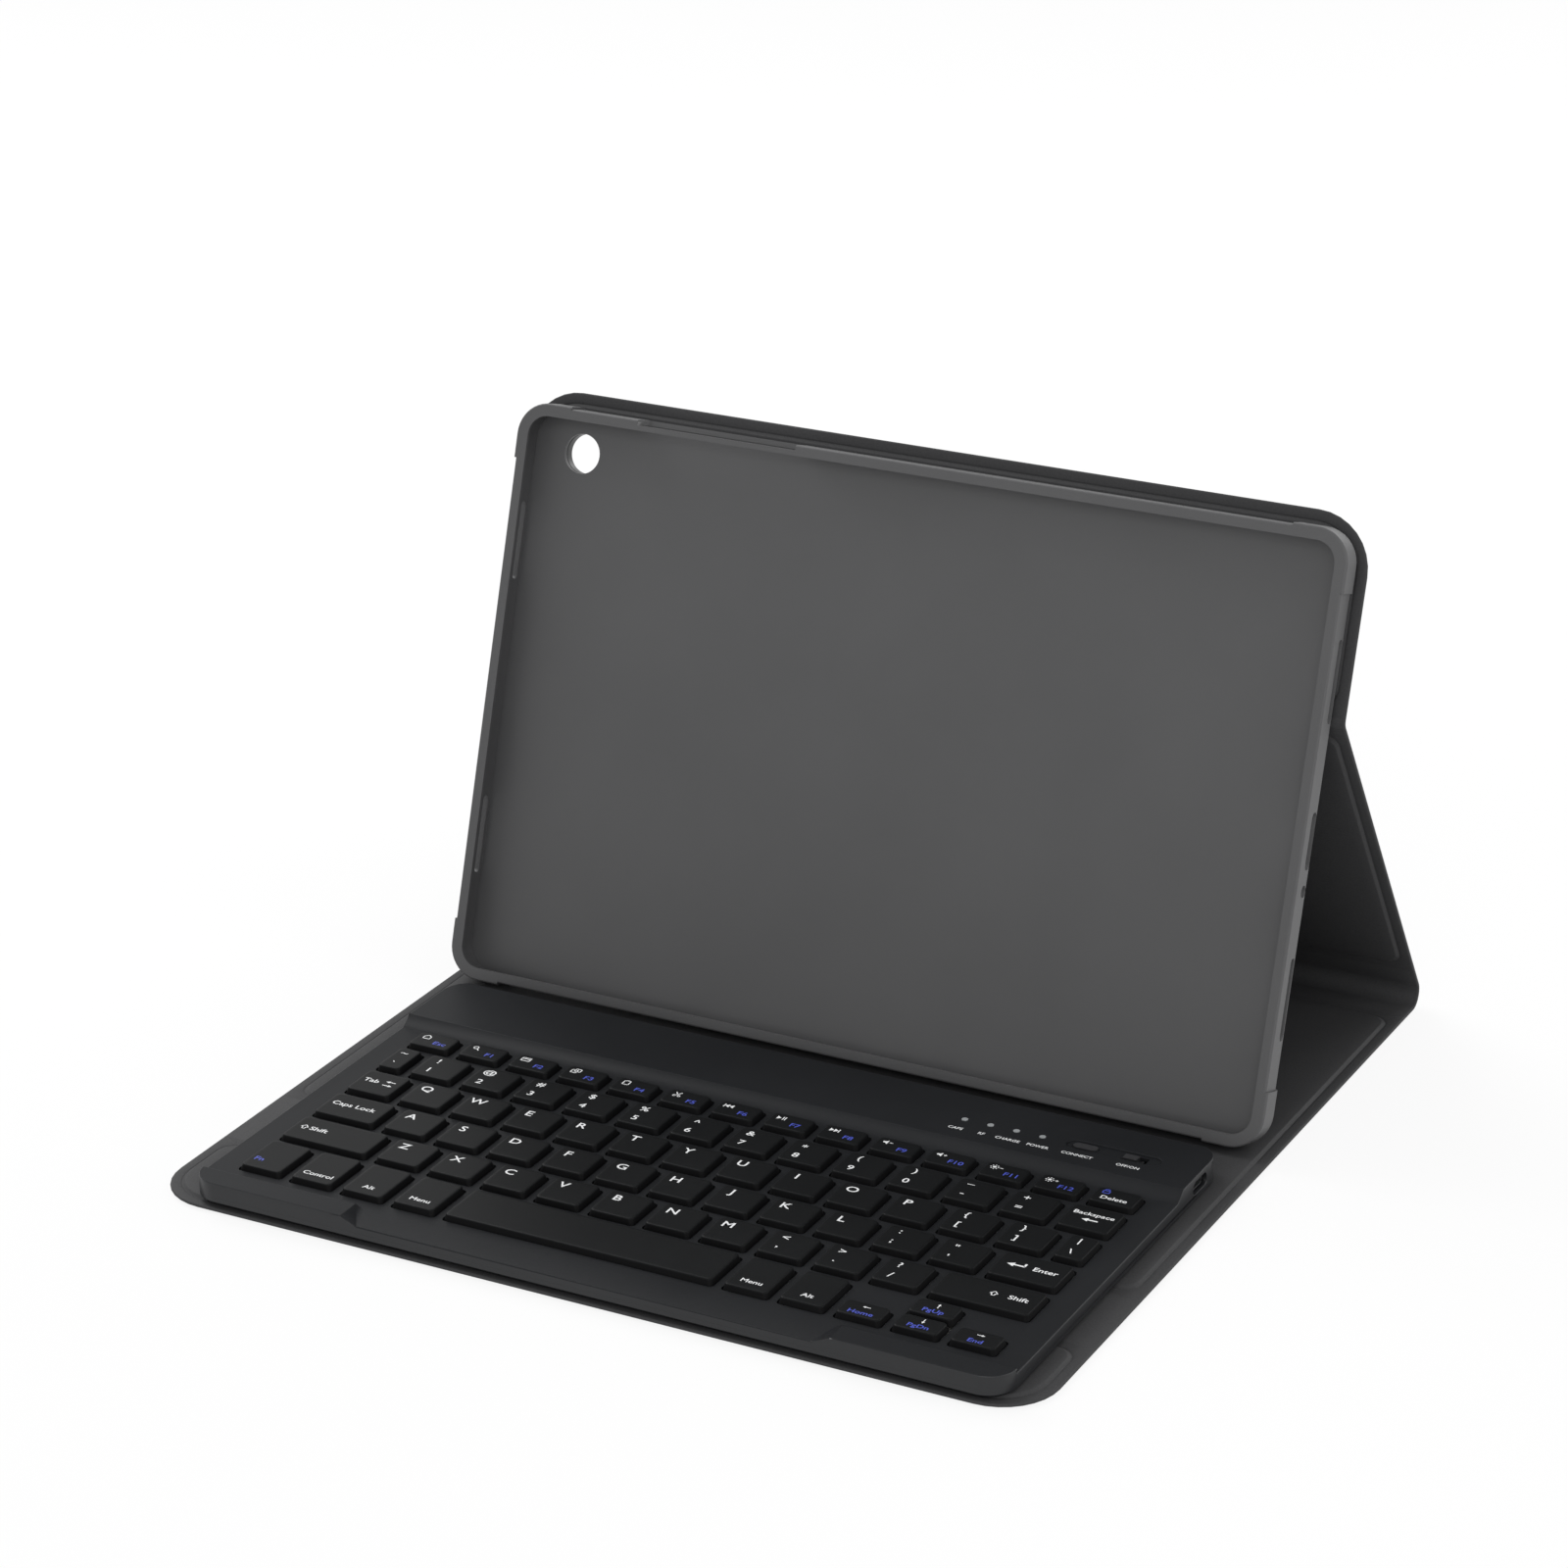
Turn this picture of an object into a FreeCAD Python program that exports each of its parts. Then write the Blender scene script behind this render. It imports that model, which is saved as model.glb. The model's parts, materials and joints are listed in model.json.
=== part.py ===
import FreeCAD, Part
import math
import os

from FreeCAD import Vector

# Tablet keyboard case, standing open for typing. Millimetres. While it is built, y runs back from
# the closure flap's front edge and z up from the table; the finished solids are centred on y.

# Folding cover: faux leather in two layers round stiff boards
COVER_REACH = 2.75         # cover beyond the tray, each side
COVER_CORNER = 16.0        # outer corners of the flap and the upper back panel
PANEL_CORNER = 5.0         # corners of a stiffened area
SKIN = 0.5                 # one layer of faux leather
BOARD = 1.2                # stiffener
BORDER = 4.0               # pressed edge outside the stiffener
CREASE = 3.0               # soft gap at a fold
LAYER_FIT = 0.1            # room round a stiffener or magnet
FLAP_PANEL = 37.0          # flap's end panel, front to back
FLAP_STRIP = 22.0          # flap's soft strip, front to back
SPINE_RADIUS = 4.2         # rear fold, at the middle of the two layers
SPINE_FLAT = 7.0           # soft run each side of the rear fold
STAND_ANGLE = 55.5         # stand panel over the base panel
BOND = 0.3                 # adhesive sheet behind the tray
CREASE_UP = 115.0          # stand crease above the tray's bottom edge
BACK_OVERHANG = 4.5        # upper back panel above the tray

# Magnets
MAGNET_LENGTH = 20.0
MAGNET_WIDTH = 5.0
MAGNET_SPREAD = 80.0       # magnets left and right of the keyboard's middle
FLAP_MAGNET_Y = 8.0
CATCH_MAGNET_DOWN = 30.0   # catch magnets below the upper back panel's top edge
KEYBOARD_MAGNET = 1.0      # thickness

# Tray
TRAY_WIDTH = 250.5
TRAY_HEIGHT = 166.0
TRAY_DEPTH = 9.7
TRAY_WALL = 1.55
TRAY_BACK = 1.4
TRAY_CORNER = 9.0
TRAY_EDGE = 3.0            # rounding of the back edges
BUMPER = 0.6               # corner bumpers stand this far out
BUMPER_LENGTH = 16.0
TRAY_LIP = 1.0
LIP_REACH = 1.45
LIP_ROUND = 0.6
TRAY_TILT = 73.0           # tray over the table
TRAY_GAP = 11.6            # from the keyboard back to the tray's foot
SEAT_GAP = 0.3
SLOT_DEPTH = 5.6           # side openings behind the lip's face
SPEAKER_SLOT = (22.6, 2.6)
SPEAKER_LOW = 40.7
SPEAKER_HIGH = 126.4
CHARGE_SLOT = (15.7, 3.4)
CHARGE_UP = 83.6
MICROPHONE_HOLE = 1.7
MICROPHONE_UP = 70.0
BUTTON_SLOT = 49.8
BUTTON_SLOT_X = -62.7
BUTTON_SLOT_DEPTH = 7.5

# Camera ring in the upper back panel
CAMERA_HOLE = 5.7
CAMERA_RING = 7.7
CAMERA_FLANGE = 8.8
CAMERA_PROUD = 0.8
CAMERA_IN = 16.75          # from the tray's side
CAMERA_DOWN = 17.0         # from the cover's top edge

# Keyboard case
KEYBOARD_CORNER = 8.0
KEYBOARD_FRONT = 0.6       # behind the flap's front edge
KEYBOARD_OFFSET = 2.4      # right of the cover's middle
FOOT_GAP = 0.3             # rubber feet stand this far out
CASE_WALL = 1.5
CASE_FLOOR = 1.0
CASE_TOP = 1.4
CASE_CHAMFER = 0.7
SEAM = 2.0                 # where the bottom case meets the deck
DECK_HEIGHT = 4.8
DECK_EDGE = 0.4
LIP_HEIGHT = 3.8
RIDGE_HEIGHT = 6.0
RIDGE_DEPTH = 7.6
RIDGE_LENGTH = 47.0
RIDGE_SLOPE = 5.0
BAR_HEIGHT = 7.5
BAR_DEPTH = 26.5
BAR_SLOPE = 3.6
BAR_ROUND = 1.5
FOOT_RADIUS = 4.0
FOOT_RECESS = 0.4
FOOT_IN = 17.0             # from the keyboard's sides
FOOT_ENDS = 14.0           # from its front and rear
SCREW_RADIUS = 0.8
SCREW_HEAD = 1.6
SCREW_HEAD_HEIGHT = 0.6
BOSS_RADIUS = 2.0
BOSS_IN = 5.0              # from the keyboard's sides
BOSS_ENDS = 5.4            # from its front and rear

# Keys
FIELD_SIDE = 6.75          # from the keyboard's sides
FIELD_FRONT = 10.7         # behind the keyboard's front
FIELD_REAR = 0.8           # ahead of the rear bar's slope
KEY_PITCH = 16.15
ROW_PITCH = 16.1
FUNCTION_ROW = 11.6
SPACE_ROW = 19.4
KEY_GAP = 3.8              # between the tops of two keys
PAIR_GAP = 1.8             # between the tops of the up and down keys
KEY_TAPER = 0.5
KEY_CORNER = 1.2
KEY_HEIGHT = 2.0
KEY_SINK = 0.4             # key's skirt below the deck's face
KEY_CLEARANCE = 0.35
GRAVE_CELL = 10.3
BACKSPACE_CELL = 17.6
TAB_CELL = 16.7
CAPS_CELL = 21.8
SHIFT_CELL = 29.6
MODIFIER_CELL = 15.6
FUNCTION_KEYS = 14
NUMBER_KEYS = 12           # between the narrow first key and the backspace key
LETTER_ROWS = 4

# Under the keys
PLATE = 0.4
MEMBRANE = 0.3
FIELD_MARGIN = 0.6
TAIL_WIDTH = 20.0
TAIL_IN = 65.6             # from the keyboard's right side, as are the other sizes that end in IN
DOME_FOOT = 2.4
DOME_TIP = 1.3
LINK_LENGTH = 7.0
LINK_WIDTH = 10.0
LINK_INNER = 7.4
LINK_BAR = 0.9
LINK_THICK = 0.6
LINK_TILT = 14.0

# Electronics in the rear bar
BOARD_IN = 8.6
BOARD_LENGTH = 67.0
BOARD_THICK = 1.0
BOARD_FROM_REAR = 3.0
BOARD_FROM_FRONT = 3.5
RIB_WIDTH = 1.5
RIB_IN = 2.0
SHIELD = (18.0, 8.0, 1.6)
SHIELD_IN = 47.6
BATTERY_LENGTH = 65.0
BATTERY_HEIGHT = 3.6
BATTERY_X = -42.0
FLEX_WIDTH = 3.0
FLEX_THICK = 0.2
FLEX_LAP = 4.0
LED_IN = 68.0
LED_PITCH = 7.6
LED_COUNT = 4
LED_RADIUS = 0.9
LED_CHIP = 1.2
LED_CHIP_HEIGHT = 0.7
CONTROL_Y = 11.2           # lamps and controls behind the bar's front edge
RECESS = (27.0, 5.0, 0.5)
RECESS_IN = 24.6
BUTTON = (7.0, 2.8)
BUTTON_IN = 32.7
BUTTON_TRAVEL = 0.6
BUTTON_FLANGE = 1.0
BUTTON_FLANGE_THICK = 0.6
CONTROL_PROUD = 0.4
CONTROL_CLEARANCE = 0.2
TACT = (6.0, 4.0, 1.5)
TACT_PLUNGER = 1.0
KNOB = (4.0, 2.6)
KNOB_IN = 19.6
KNOB_TRAVEL = 2.5
SLIDER_THICK = 0.7
SWITCH = (8.0, 4.6)
PORT = (7.6, 2.8)
PORT_LENGTH = 8.8
PORT_SHELL = 0.4
PORT_MOUTH = (9.2, 3.8)

# Worked out from the sizes above
PANEL = BOARD + 2 * SKIN
MID = PANEL / 2
HALF = TRAY_WIDTH / 2 + COVER_REACH
tilt = math.radians(TRAY_TILT)
lean = math.radians(STAND_ANGLE)
tray_up = Vector(0, math.cos(tilt), math.sin(tilt))
tray_behind = Vector(0, math.sin(tilt), -math.cos(tilt))
stand_down = Vector(0, math.cos(lean), -math.sin(lean))
strip_start = FLAP_PANEL + CREASE
base_start = strip_start + FLAP_STRIP + CREASE
foot_height = (PANEL + SEAT_GAP + TRAY_EDGE - (TRAY_EDGE - BUMPER) * math.sin(tilt)
               + (TRAY_DEPTH - TRAY_EDGE) * math.cos(tilt))
field_width = GRAVE_CELL + NUMBER_KEYS * KEY_PITCH + BACKSPACE_CELL
field_depth = SPACE_ROW + LETTER_ROWS * ROW_PITCH + FUNCTION_ROW
keyboard_depth = FIELD_FRONT + field_depth + FIELD_REAR + BAR_SLOPE + BAR_DEPTH
case_half = field_width / 2 + FIELD_SIDE
tray_foot = Vector(0, KEYBOARD_FRONT + keyboard_depth + TRAY_GAP, foot_height)
kink = tray_foot + tray_up * CREASE_UP + tray_behind * (TRAY_DEPTH + BOND + MID)
stand_run = (kink.z - MID) / math.sin(lean)
fold_corner = kink + stand_down * stand_run
fold_tangent = SPINE_RADIUS / math.tan(lean / 2)
base_end = fold_corner.y - fold_tangent - SPINE_FLAT
stand_length = stand_run - fold_tangent - SPINE_FLAT - CREASE / 2
stand_foot = fold_corner - stand_down * (fold_tangent + SPINE_FLAT)
back_length = TRAY_HEIGHT + BACK_OVERHANG - CREASE_UP - CREASE / 2
back_foot = kink + tray_up * (CREASE / 2)
depth = fold_corner.y - fold_tangent + SPINE_RADIUS + SKIN
keyboard_place = Vector(KEYBOARD_OFFSET, KEYBOARD_FRONT, PANEL + FOOT_GAP)
bar_front = keyboard_depth - BAR_DEPTH
board_depth = BAR_DEPTH - BOARD_FROM_FRONT - BOARD_FROM_REAR
board_right = case_half - BOARD_IN
board_left = board_right - BOARD_LENGTH

parts = {}


def rounded_wire(corners):
    """Closed wire through (point, radius) corners, each rounded by an arc tangent to its sides."""
    ends = []
    for i, (point, radius) in enumerate(corners):
        before = (corners[i - 1][0] - point).normalize()
        after = (corners[(i + 1) % len(corners)][0] - point).normalize()
        half_angle = before.getAngle(after) / 2
        reach = radius / math.tan(half_angle)
        middle = before + after
        if radius > 0:
            middle.normalize()
        centre = point + middle * (radius / math.sin(half_angle))
        ends.append((point + before * reach, centre - middle * radius, point + after * reach, radius))
    edges = []
    for i, (start, crown, end, radius) in enumerate(ends):
        if radius > 0:
            edges.append(Part.Arc(start, crown, end).toShape())
        following = ends[(i + 1) % len(ends)][0]
        if end.distanceToPoint(following) > 1e-6:
            edges.append(Part.LineSegment(end, following).toShape())
    return Part.Wire(edges)


def prism(corners, run):
    """Solid of a rounded outline carried along a vector."""
    return Part.Face(rounded_wire(corners)).extrude(run)


def plan(x0, x1, y0, y1, z, front_radius=0.0, rear_radius=0.0):
    """Corners of a flat rectangle, anticlockwise from its front left."""
    return [(Vector(x0, y0, z), front_radius), (Vector(x1, y0, z), front_radius),
            (Vector(x1, y1, z), rear_radius), (Vector(x0, y1, z), rear_radius)]


def plate(x0, x1, y0, y1, z0, z1, front_radius=0.0, rear_radius=0.0):
    """Upright solid on a rectangle with rounded front and rear corners."""
    return prism(plan(x0, x1, y0, y1, z0, front_radius, rear_radius), Vector(0, 0, z1 - z0))


def block(centre_x, centre_y, size_x, size_y, z0, z1):
    """Box about a plan centre."""
    return plate(centre_x - size_x / 2, centre_x + size_x / 2,
                 centre_y - size_y / 2, centre_y + size_y / 2, z0, z1)


def stadium(centre_x, centre_y, length, width, z0, z1):
    """Solid on a slot with round ends, long along x."""
    ends = width / 2 - 0.001
    return plate(centre_x - length / 2, centre_x + length / 2,
                 centre_y - width / 2, centre_y + width / 2, z0, z1, ends, ends)


def post(x, y, radius, z0, z1):
    """Upright cylinder."""
    return Part.makeCylinder(radius, z1 - z0, Vector(x, y, z0))


def joined(shapes):
    """One solid from overlapping ones."""
    return shapes[0].multiFuse(shapes[1:]).removeSplitter()


def cut(shape, tools):
    """Shape less a list of tools."""
    return shape.cut(Part.makeCompound(tools))


def turned(shape, degrees, place):
    """Shape turned about x through the origin, then moved to its place."""
    shape = shape.copy()
    shape.rotate(Vector(0, 0, 0), Vector(1, 0, 0), degrees)
    shape.translate(place)
    return shape


def magnet_bars(centres, z0, z1, room=0.0):
    """Bar magnets, or the pockets they lie in, about plan centres."""
    return [block(x, y, MAGNET_LENGTH + 2 * room, MAGNET_WIDTH + 2 * room, z0, z1) for x, y in centres]


def panel(name, y0, y1, front_radius, rear_radius, magnets=(), hole=None):
    """Stiffened panel lying on its outer face: skin and lining pressed round a board."""
    outline = (-HALF, HALF, y0, y1)
    inset = (-HALF + BORDER, HALF - BORDER, y0 + BORDER, y1 - BORDER)
    radii = [max(r - BORDER, PANEL_CORNER) for r in (front_radius, rear_radius)]

    def area(grow, z0, z1):
        x0, x1, ya, yb = inset
        return plate(x0 - grow, x1 + grow, ya - grow, yb + grow, z0, z1, radii[0] + grow, radii[1] + grow)

    skin = joined([plate(*outline, MID - SKIN, MID, front_radius, rear_radius), area(SKIN, 0, MID)])
    lining = joined([plate(*outline, MID, MID + SKIN, front_radius, rear_radius), area(SKIN, MID, PANEL)])
    layers = {
        name + "_skin": skin.cut(area(LAYER_FIT, SKIN, MID)),
        name + "_board": area(0, SKIN, PANEL - SKIN),
        name + "_lining": lining.cut(area(LAYER_FIT, MID, PANEL - SKIN)),
    }
    if magnets:
        pockets = magnet_bars(magnets, SKIN, PANEL - SKIN, LAYER_FIT)
        layers[name + "_board"] = cut(layers[name + "_board"], pockets)
        layers[name + "_magnets"] = Part.makeCompound(magnet_bars(magnets, SKIN, PANEL - SKIN))
    if hole:
        x, y, radius = hole
        layers = {node: shape if node.endswith("magnets") else shape.cut(post(x, y, radius, 0, PANEL))
                  for node, shape in layers.items()}
    return layers


def soft_strip(y0, y1):
    """Two layers of faux leather with no board between them."""
    return plate(-HALF, HALF, y0, y1, MID - SKIN, MID + SKIN)


def across(points, half_width):
    """Solid of a side outline, (y, z) or (y, z, radius), carried across the width."""
    corners = [(Vector(-half_width, p[0], p[1]), p[2] if len(p) > 2 else 0.0) for p in points]
    return prism(corners, Vector(2 * half_width, 0, 0))


# Closure flap: end panel, soft strip and their creases
keyboard_sides = (KEYBOARD_OFFSET - MAGNET_SPREAD, KEYBOARD_OFFSET + MAGNET_SPREAD)
parts.update(panel("flap", 0.0, FLAP_PANEL, COVER_CORNER, 0.0,
                   [(x, FLAP_MAGNET_Y) for x in keyboard_sides]))
parts["flap_tip_crease"] = soft_strip(FLAP_PANEL, strip_start)
parts["flap_strip"] = soft_strip(strip_start, strip_start + FLAP_STRIP)
parts["flap_base_crease"] = soft_strip(strip_start + FLAP_STRIP, base_start)

# Base panel, with the magnets that hold the keyboard's rear edge
rear_magnet_y = bar_front - BAR_SLOPE - FIELD_MARGIN + MAGNET_WIDTH / 2
parts.update(panel("base", base_start, base_end, 0.0, 0.0,
                   [(x, KEYBOARD_FRONT + rear_magnet_y) for x in keyboard_sides]))

# Spine: the soft strip rounds the rear fold from the base panel up to the stand panel
arc_start = fold_corner.y - fold_tangent
arc_centre = Vector(0, arc_start, MID + SPINE_RADIUS)
stand_out = Vector(0, math.sin(lean), math.cos(lean))
bisector = Vector(0, math.cos(lean / 2), -math.sin(lean / 2))


def spine_side(radius, layer):
    """Points of one face of the spine: base end, arc start, arc crown, arc end, stand end."""
    arc_end = arc_centre + stand_out * radius
    return (Vector(-HALF, base_end, layer), Vector(-HALF, arc_start, layer),
            arc_centre + bisector * radius + Vector(-HALF, 0, 0), arc_end + Vector(-HALF, 0, 0),
            arc_end - stand_down * SPINE_FLAT + Vector(-HALF, 0, 0))


outer = spine_side(SPINE_RADIUS + SKIN, MID - SKIN)
inner = spine_side(SPINE_RADIUS - SKIN, MID + SKIN)
spine_edges = [Part.LineSegment(outer[0], outer[1]).toShape(),
               Part.Arc(outer[1], outer[2], outer[3]).toShape(),
               Part.LineSegment(outer[3], outer[4]).toShape(),
               Part.LineSegment(outer[4], inner[4]).toShape(),
               Part.LineSegment(inner[4], inner[3]).toShape(),
               Part.Arc(inner[3], inner[2], inner[1]).toShape(),
               Part.LineSegment(inner[1], inner[0]).toShape(),
               Part.LineSegment(inner[0], outer[0]).toShape()]
parts["spine_strip"] = Part.Face(Part.Wire(spine_edges)).extrude(Vector(2 * HALF, 0, 0))


def stood(shape, degrees, foot):
    """Panel stood up from its front edge, whose middle layer meets the foot point."""
    shape = shape.copy()
    shape.translate(Vector(0, 0, -MID))
    return turned(shape, degrees, foot)


# Stand panel, from the spine up to the crease behind the tray
for node, shape in panel("stand", 0.0, stand_length, 0.0, 0.0).items():
    parts[node] = stood(shape, 180.0 - STAND_ANGLE, stand_foot)

# Stand crease: a bent soft strip, mitred where the two panels' middle layers meet
fold_half = math.radians(180.0 - STAND_ANGLE - TRAY_TILT) / 2
mitre = (tray_behind + stand_out).normalize() * (SKIN / math.cos(fold_half))
low = kink + stand_down * (CREASE / 2)
high = kink + tray_up * (CREASE / 2)
crease_line = [low + stand_out * SKIN, kink + mitre, high + tray_behind * SKIN,
               high - tray_behind * SKIN, kink - mitre, low - stand_out * SKIN]
parts["stand_crease"] = across([(p.y, p.z) for p in crease_line], HALF)

# Upper back panel, with the magnets that catch the flap and the camera ring
camera_x = CAMERA_IN - TRAY_WIDTH / 2
camera_y = back_length - CAMERA_DOWN
catch_magnets = [(x, back_length - CATCH_MAGNET_DOWN) for x in (-MAGNET_SPREAD, MAGNET_SPREAD)]
back = panel("back", 0.0, back_length, 0.0, COVER_CORNER, catch_magnets,
             (camera_x, camera_y, CAMERA_RING + LAYER_FIT))
ring = joined([post(camera_x, camera_y, CAMERA_RING, -CAMERA_PROUD, PANEL),
               post(camera_x, camera_y, CAMERA_FLANGE, -CAMERA_PROUD, 0)])
back["camera_ring"] = ring.cut(post(camera_x, camera_y, CAMERA_HOLE, -CAMERA_PROUD, PANEL))
for node, shape in back.items():
    parts[node] = stood(shape, TRAY_TILT, back_foot)


# Tray, built lying on its back: y up the tray, z out of the lip's face
def tray_area(inset, z0, z1):
    """Solid on the tray's outline drawn in by an inset."""
    half = TRAY_WIDTH / 2 - inset
    corner = max(TRAY_CORNER - inset, TRAY_WALL)
    return plate(-half, half, inset, TRAY_HEIGHT - inset, z0, z1, corner, corner)


def side_slot(side, up, length, width):
    """Opening through one side wall of the tray, long up the tray."""
    slot = stadium(0, 0, length, width, -2 * TRAY_WALL, 2 * TRAY_WALL)
    slot.rotate(Vector(0, 0, 0), Vector(0, 0, 1), 90)
    slot.rotate(Vector(0, 0, 0), Vector(0, 1, 0), 90)
    slot.translate(Vector(side * (TRAY_WIDTH - TRAY_WALL) / 2, up, -SLOT_DEPTH))
    return slot


def edges_at(shape, z):
    """Edges that lie wholly at one height."""
    return [e for e in shape.Edges if abs(e.BoundBox.ZMin - z) < 1e-6 and abs(e.BoundBox.ZMax - z) < 1e-6]


def tray_blank(inset):
    """Tray before it is hollowed, with its back and lip edges rounded."""
    blank = tray_area(inset, -TRAY_DEPTH, 0)
    blank = blank.makeFillet(TRAY_EDGE, edges_at(blank, -TRAY_DEPTH))
    return blank.makeFillet(LIP_ROUND, edges_at(blank, 0))


bumper_corners = [block(x, y, 2 * BUMPER_LENGTH, 2 * BUMPER_LENGTH, -TRAY_DEPTH, 0)
                  for x in (-TRAY_WIDTH / 2, TRAY_WIDTH / 2) for y in (0, TRAY_HEIGHT)]
bumpers = [tray_blank(-BUMPER).common(corner) for corner in bumper_corners]
tray = joined([tray_blank(0)] + bumpers)
camera_up = CREASE_UP + CREASE / 2 + camera_y
sides = [side_slot(1, CHARGE_UP, *CHARGE_SLOT)]
sides.append(side_slot(1, MICROPHONE_UP, 2 * MICROPHONE_HOLE, 2 * MICROPHONE_HOLE))
for side in (-1, 1):
    for up in (SPEAKER_LOW, SPEAKER_HIGH):
        sides.append(side_slot(side, up, *SPEAKER_SLOT))
button_slot = block(BUTTON_SLOT_X, TRAY_HEIGHT, BUTTON_SLOT, 2 * TRAY_WALL, -BUTTON_SLOT_DEPTH, TRAY_LIP)
tray = cut(tray, [tray_area(TRAY_WALL, TRAY_BACK - TRAY_DEPTH, -TRAY_LIP)])
tray = cut(tray, [tray_area(TRAY_WALL + LIP_REACH, -TRAY_DEPTH / 2, TRAY_LIP)])
camera_hole = post(camera_x, camera_up, CAMERA_HOLE, -TRAY_DEPTH, TRAY_BACK - TRAY_DEPTH)
tray = cut(tray, sides + [button_slot, camera_hole])
parts["tray_shell"] = turned(tray, TRAY_TILT, tray_foot)
bond_half = TRAY_WIDTH / 2 - TRAY_EDGE - TRAY_WALL
bond = plate(-bond_half, bond_half, CREASE_UP + BORDER + CREASE, TRAY_HEIGHT - TRAY_EDGE - TRAY_WALL,
             -TRAY_DEPTH - BOND, -TRAY_DEPTH, TRAY_CORNER, TRAY_CORNER)
bond = bond.cut(post(camera_x, camera_up, CAMERA_FLANGE, -TRAY_DEPTH - BOND, -TRAY_DEPTH))
parts["tray_bond"] = turned(bond, TRAY_TILT, tray_foot)


# Keys: cells of a row run left to right; each key stands in the middle of its cell
def filled(cells, node, after=()):
    """Row of cells with one more, as wide as the rest of the row leaves."""
    used = sum(width for _, width in cells) + sum(width for _, width in after)
    return cells + [(node, field_width - used)] + list(after)


modifiers = [("modifier_keys", MODIFIER_CELL)] * 2
arrows = [(node, MODIFIER_CELL) for node in ("left_arrow_key", "arrow_pair", "right_arrow_key")]
lower_row = [("left_shift_key", SHIFT_CELL)] + [("lower_letter_keys", KEY_PITCH)] * (NUMBER_KEYS - 2)
home_row = [("caps_lock_key", CAPS_CELL)] + [("home_letter_keys", KEY_PITCH)] * (NUMBER_KEYS - 1)
upper_row = [("tab_key", TAB_CELL)] + [("upper_letter_keys", KEY_PITCH)] * NUMBER_KEYS
number_row = [("number_keys", GRAVE_CELL)] + [("number_keys", KEY_PITCH)] * NUMBER_KEYS
rows = [
    (SPACE_ROW, filled(modifiers * 2, "space_bar", modifiers + arrows)),
    (ROW_PITCH, filled(lower_row, "right_shift_key")),
    (ROW_PITCH, filled(home_row, "enter_key")),
    (ROW_PITCH, filled(upper_row, "upper_letter_keys")),
    (ROW_PITCH, filled(number_row, "backspace_key")),
    (FUNCTION_ROW, [("function_keys", field_width / FUNCTION_KEYS)] * FUNCTION_KEYS),
]
key_seat = DECK_HEIGHT - KEY_SINK
key_cells = []
openings = []
row_front = FIELD_FRONT
for row_depth, cells in rows:
    left = -field_width / 2
    for node, width in cells:
        top = [left + KEY_GAP / 2, left + width - KEY_GAP / 2,
               row_front + KEY_GAP / 2, row_front + row_depth - KEY_GAP / 2]
        half_key = (top[3] - top[2] - PAIR_GAP) / 2
        if node == "arrow_pair":
            key_cells.append(("down_arrow_key", top[:3] + [top[2] + half_key]))
            key_cells.append(("up_arrow_key", top[:2] + [top[3] - half_key, top[3]]))
        elif "arrow" in node:
            top[3] = top[2] + half_key
            key_cells.append((node, top))
        else:
            key_cells.append((node, top))
        room = KEY_TAPER + KEY_CLEARANCE
        openings.append(plate(top[0] - room, top[1] + room, top[2] - room, top[3] + room,
                              SEAM, BAR_HEIGHT, KEY_CORNER, KEY_CORNER))
        left += width
    row_front += row_depth
field_rear = row_front


def keycap(x0, x1, y0, y1):
    """Key with a top smaller than its skirt by the taper on every side."""
    t = KEY_TAPER
    skirt = rounded_wire(plan(x0 - t, x1 + t, y0 - t, y1 + t, key_seat, KEY_CORNER, KEY_CORNER))
    crown = rounded_wire(plan(x0, x1, y0, y1, key_seat + KEY_HEIGHT, KEY_CORNER, KEY_CORNER))
    return Part.makeLoft([skirt, crown], True, True)


keyboard = {}
groups = {}
for node, top in key_cells:
    groups.setdefault(node, []).append(keycap(*top))
for node, caps in groups.items():
    keyboard[node] = caps[0] if len(caps) == 1 else Part.makeCompound(caps)

# Under the keys: steel plate, contact membrane with its tail, rubber domes and scissor links
field_half = field_width / 2 - FIELD_MARGIN
plate_top = CASE_FLOOR + PLATE
membrane_top = plate_top + MEMBRANE
board_front = keyboard_depth - BOARD_FROM_REAR - board_depth
keyboard["key_plate"] = plate(-field_half, field_half, FIELD_FRONT, field_rear, CASE_FLOOR, plate_top)
tail_x = case_half - TAIL_IN
tail = plate(tail_x - TAIL_WIDTH / 2, tail_x + TAIL_WIDTH / 2,
             field_rear - MEMBRANE, board_front + RIB_IN / 2, plate_top, membrane_top)
keyboard["contact_membrane"] = joined([plate(-field_half, field_half, FIELD_FRONT, field_rear,
                                             plate_top, membrane_top), tail])


def link_frame(width):
    """Thin rectangular frame, centred on the origin."""
    frame = block(0, 0, width, LINK_LENGTH, -LINK_THICK / 2, LINK_THICK / 2)
    return frame.cut(block(0, 0, width - 2 * LINK_BAR, LINK_LENGTH - 2 * LINK_BAR, -LINK_THICK, LINK_THICK))


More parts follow.
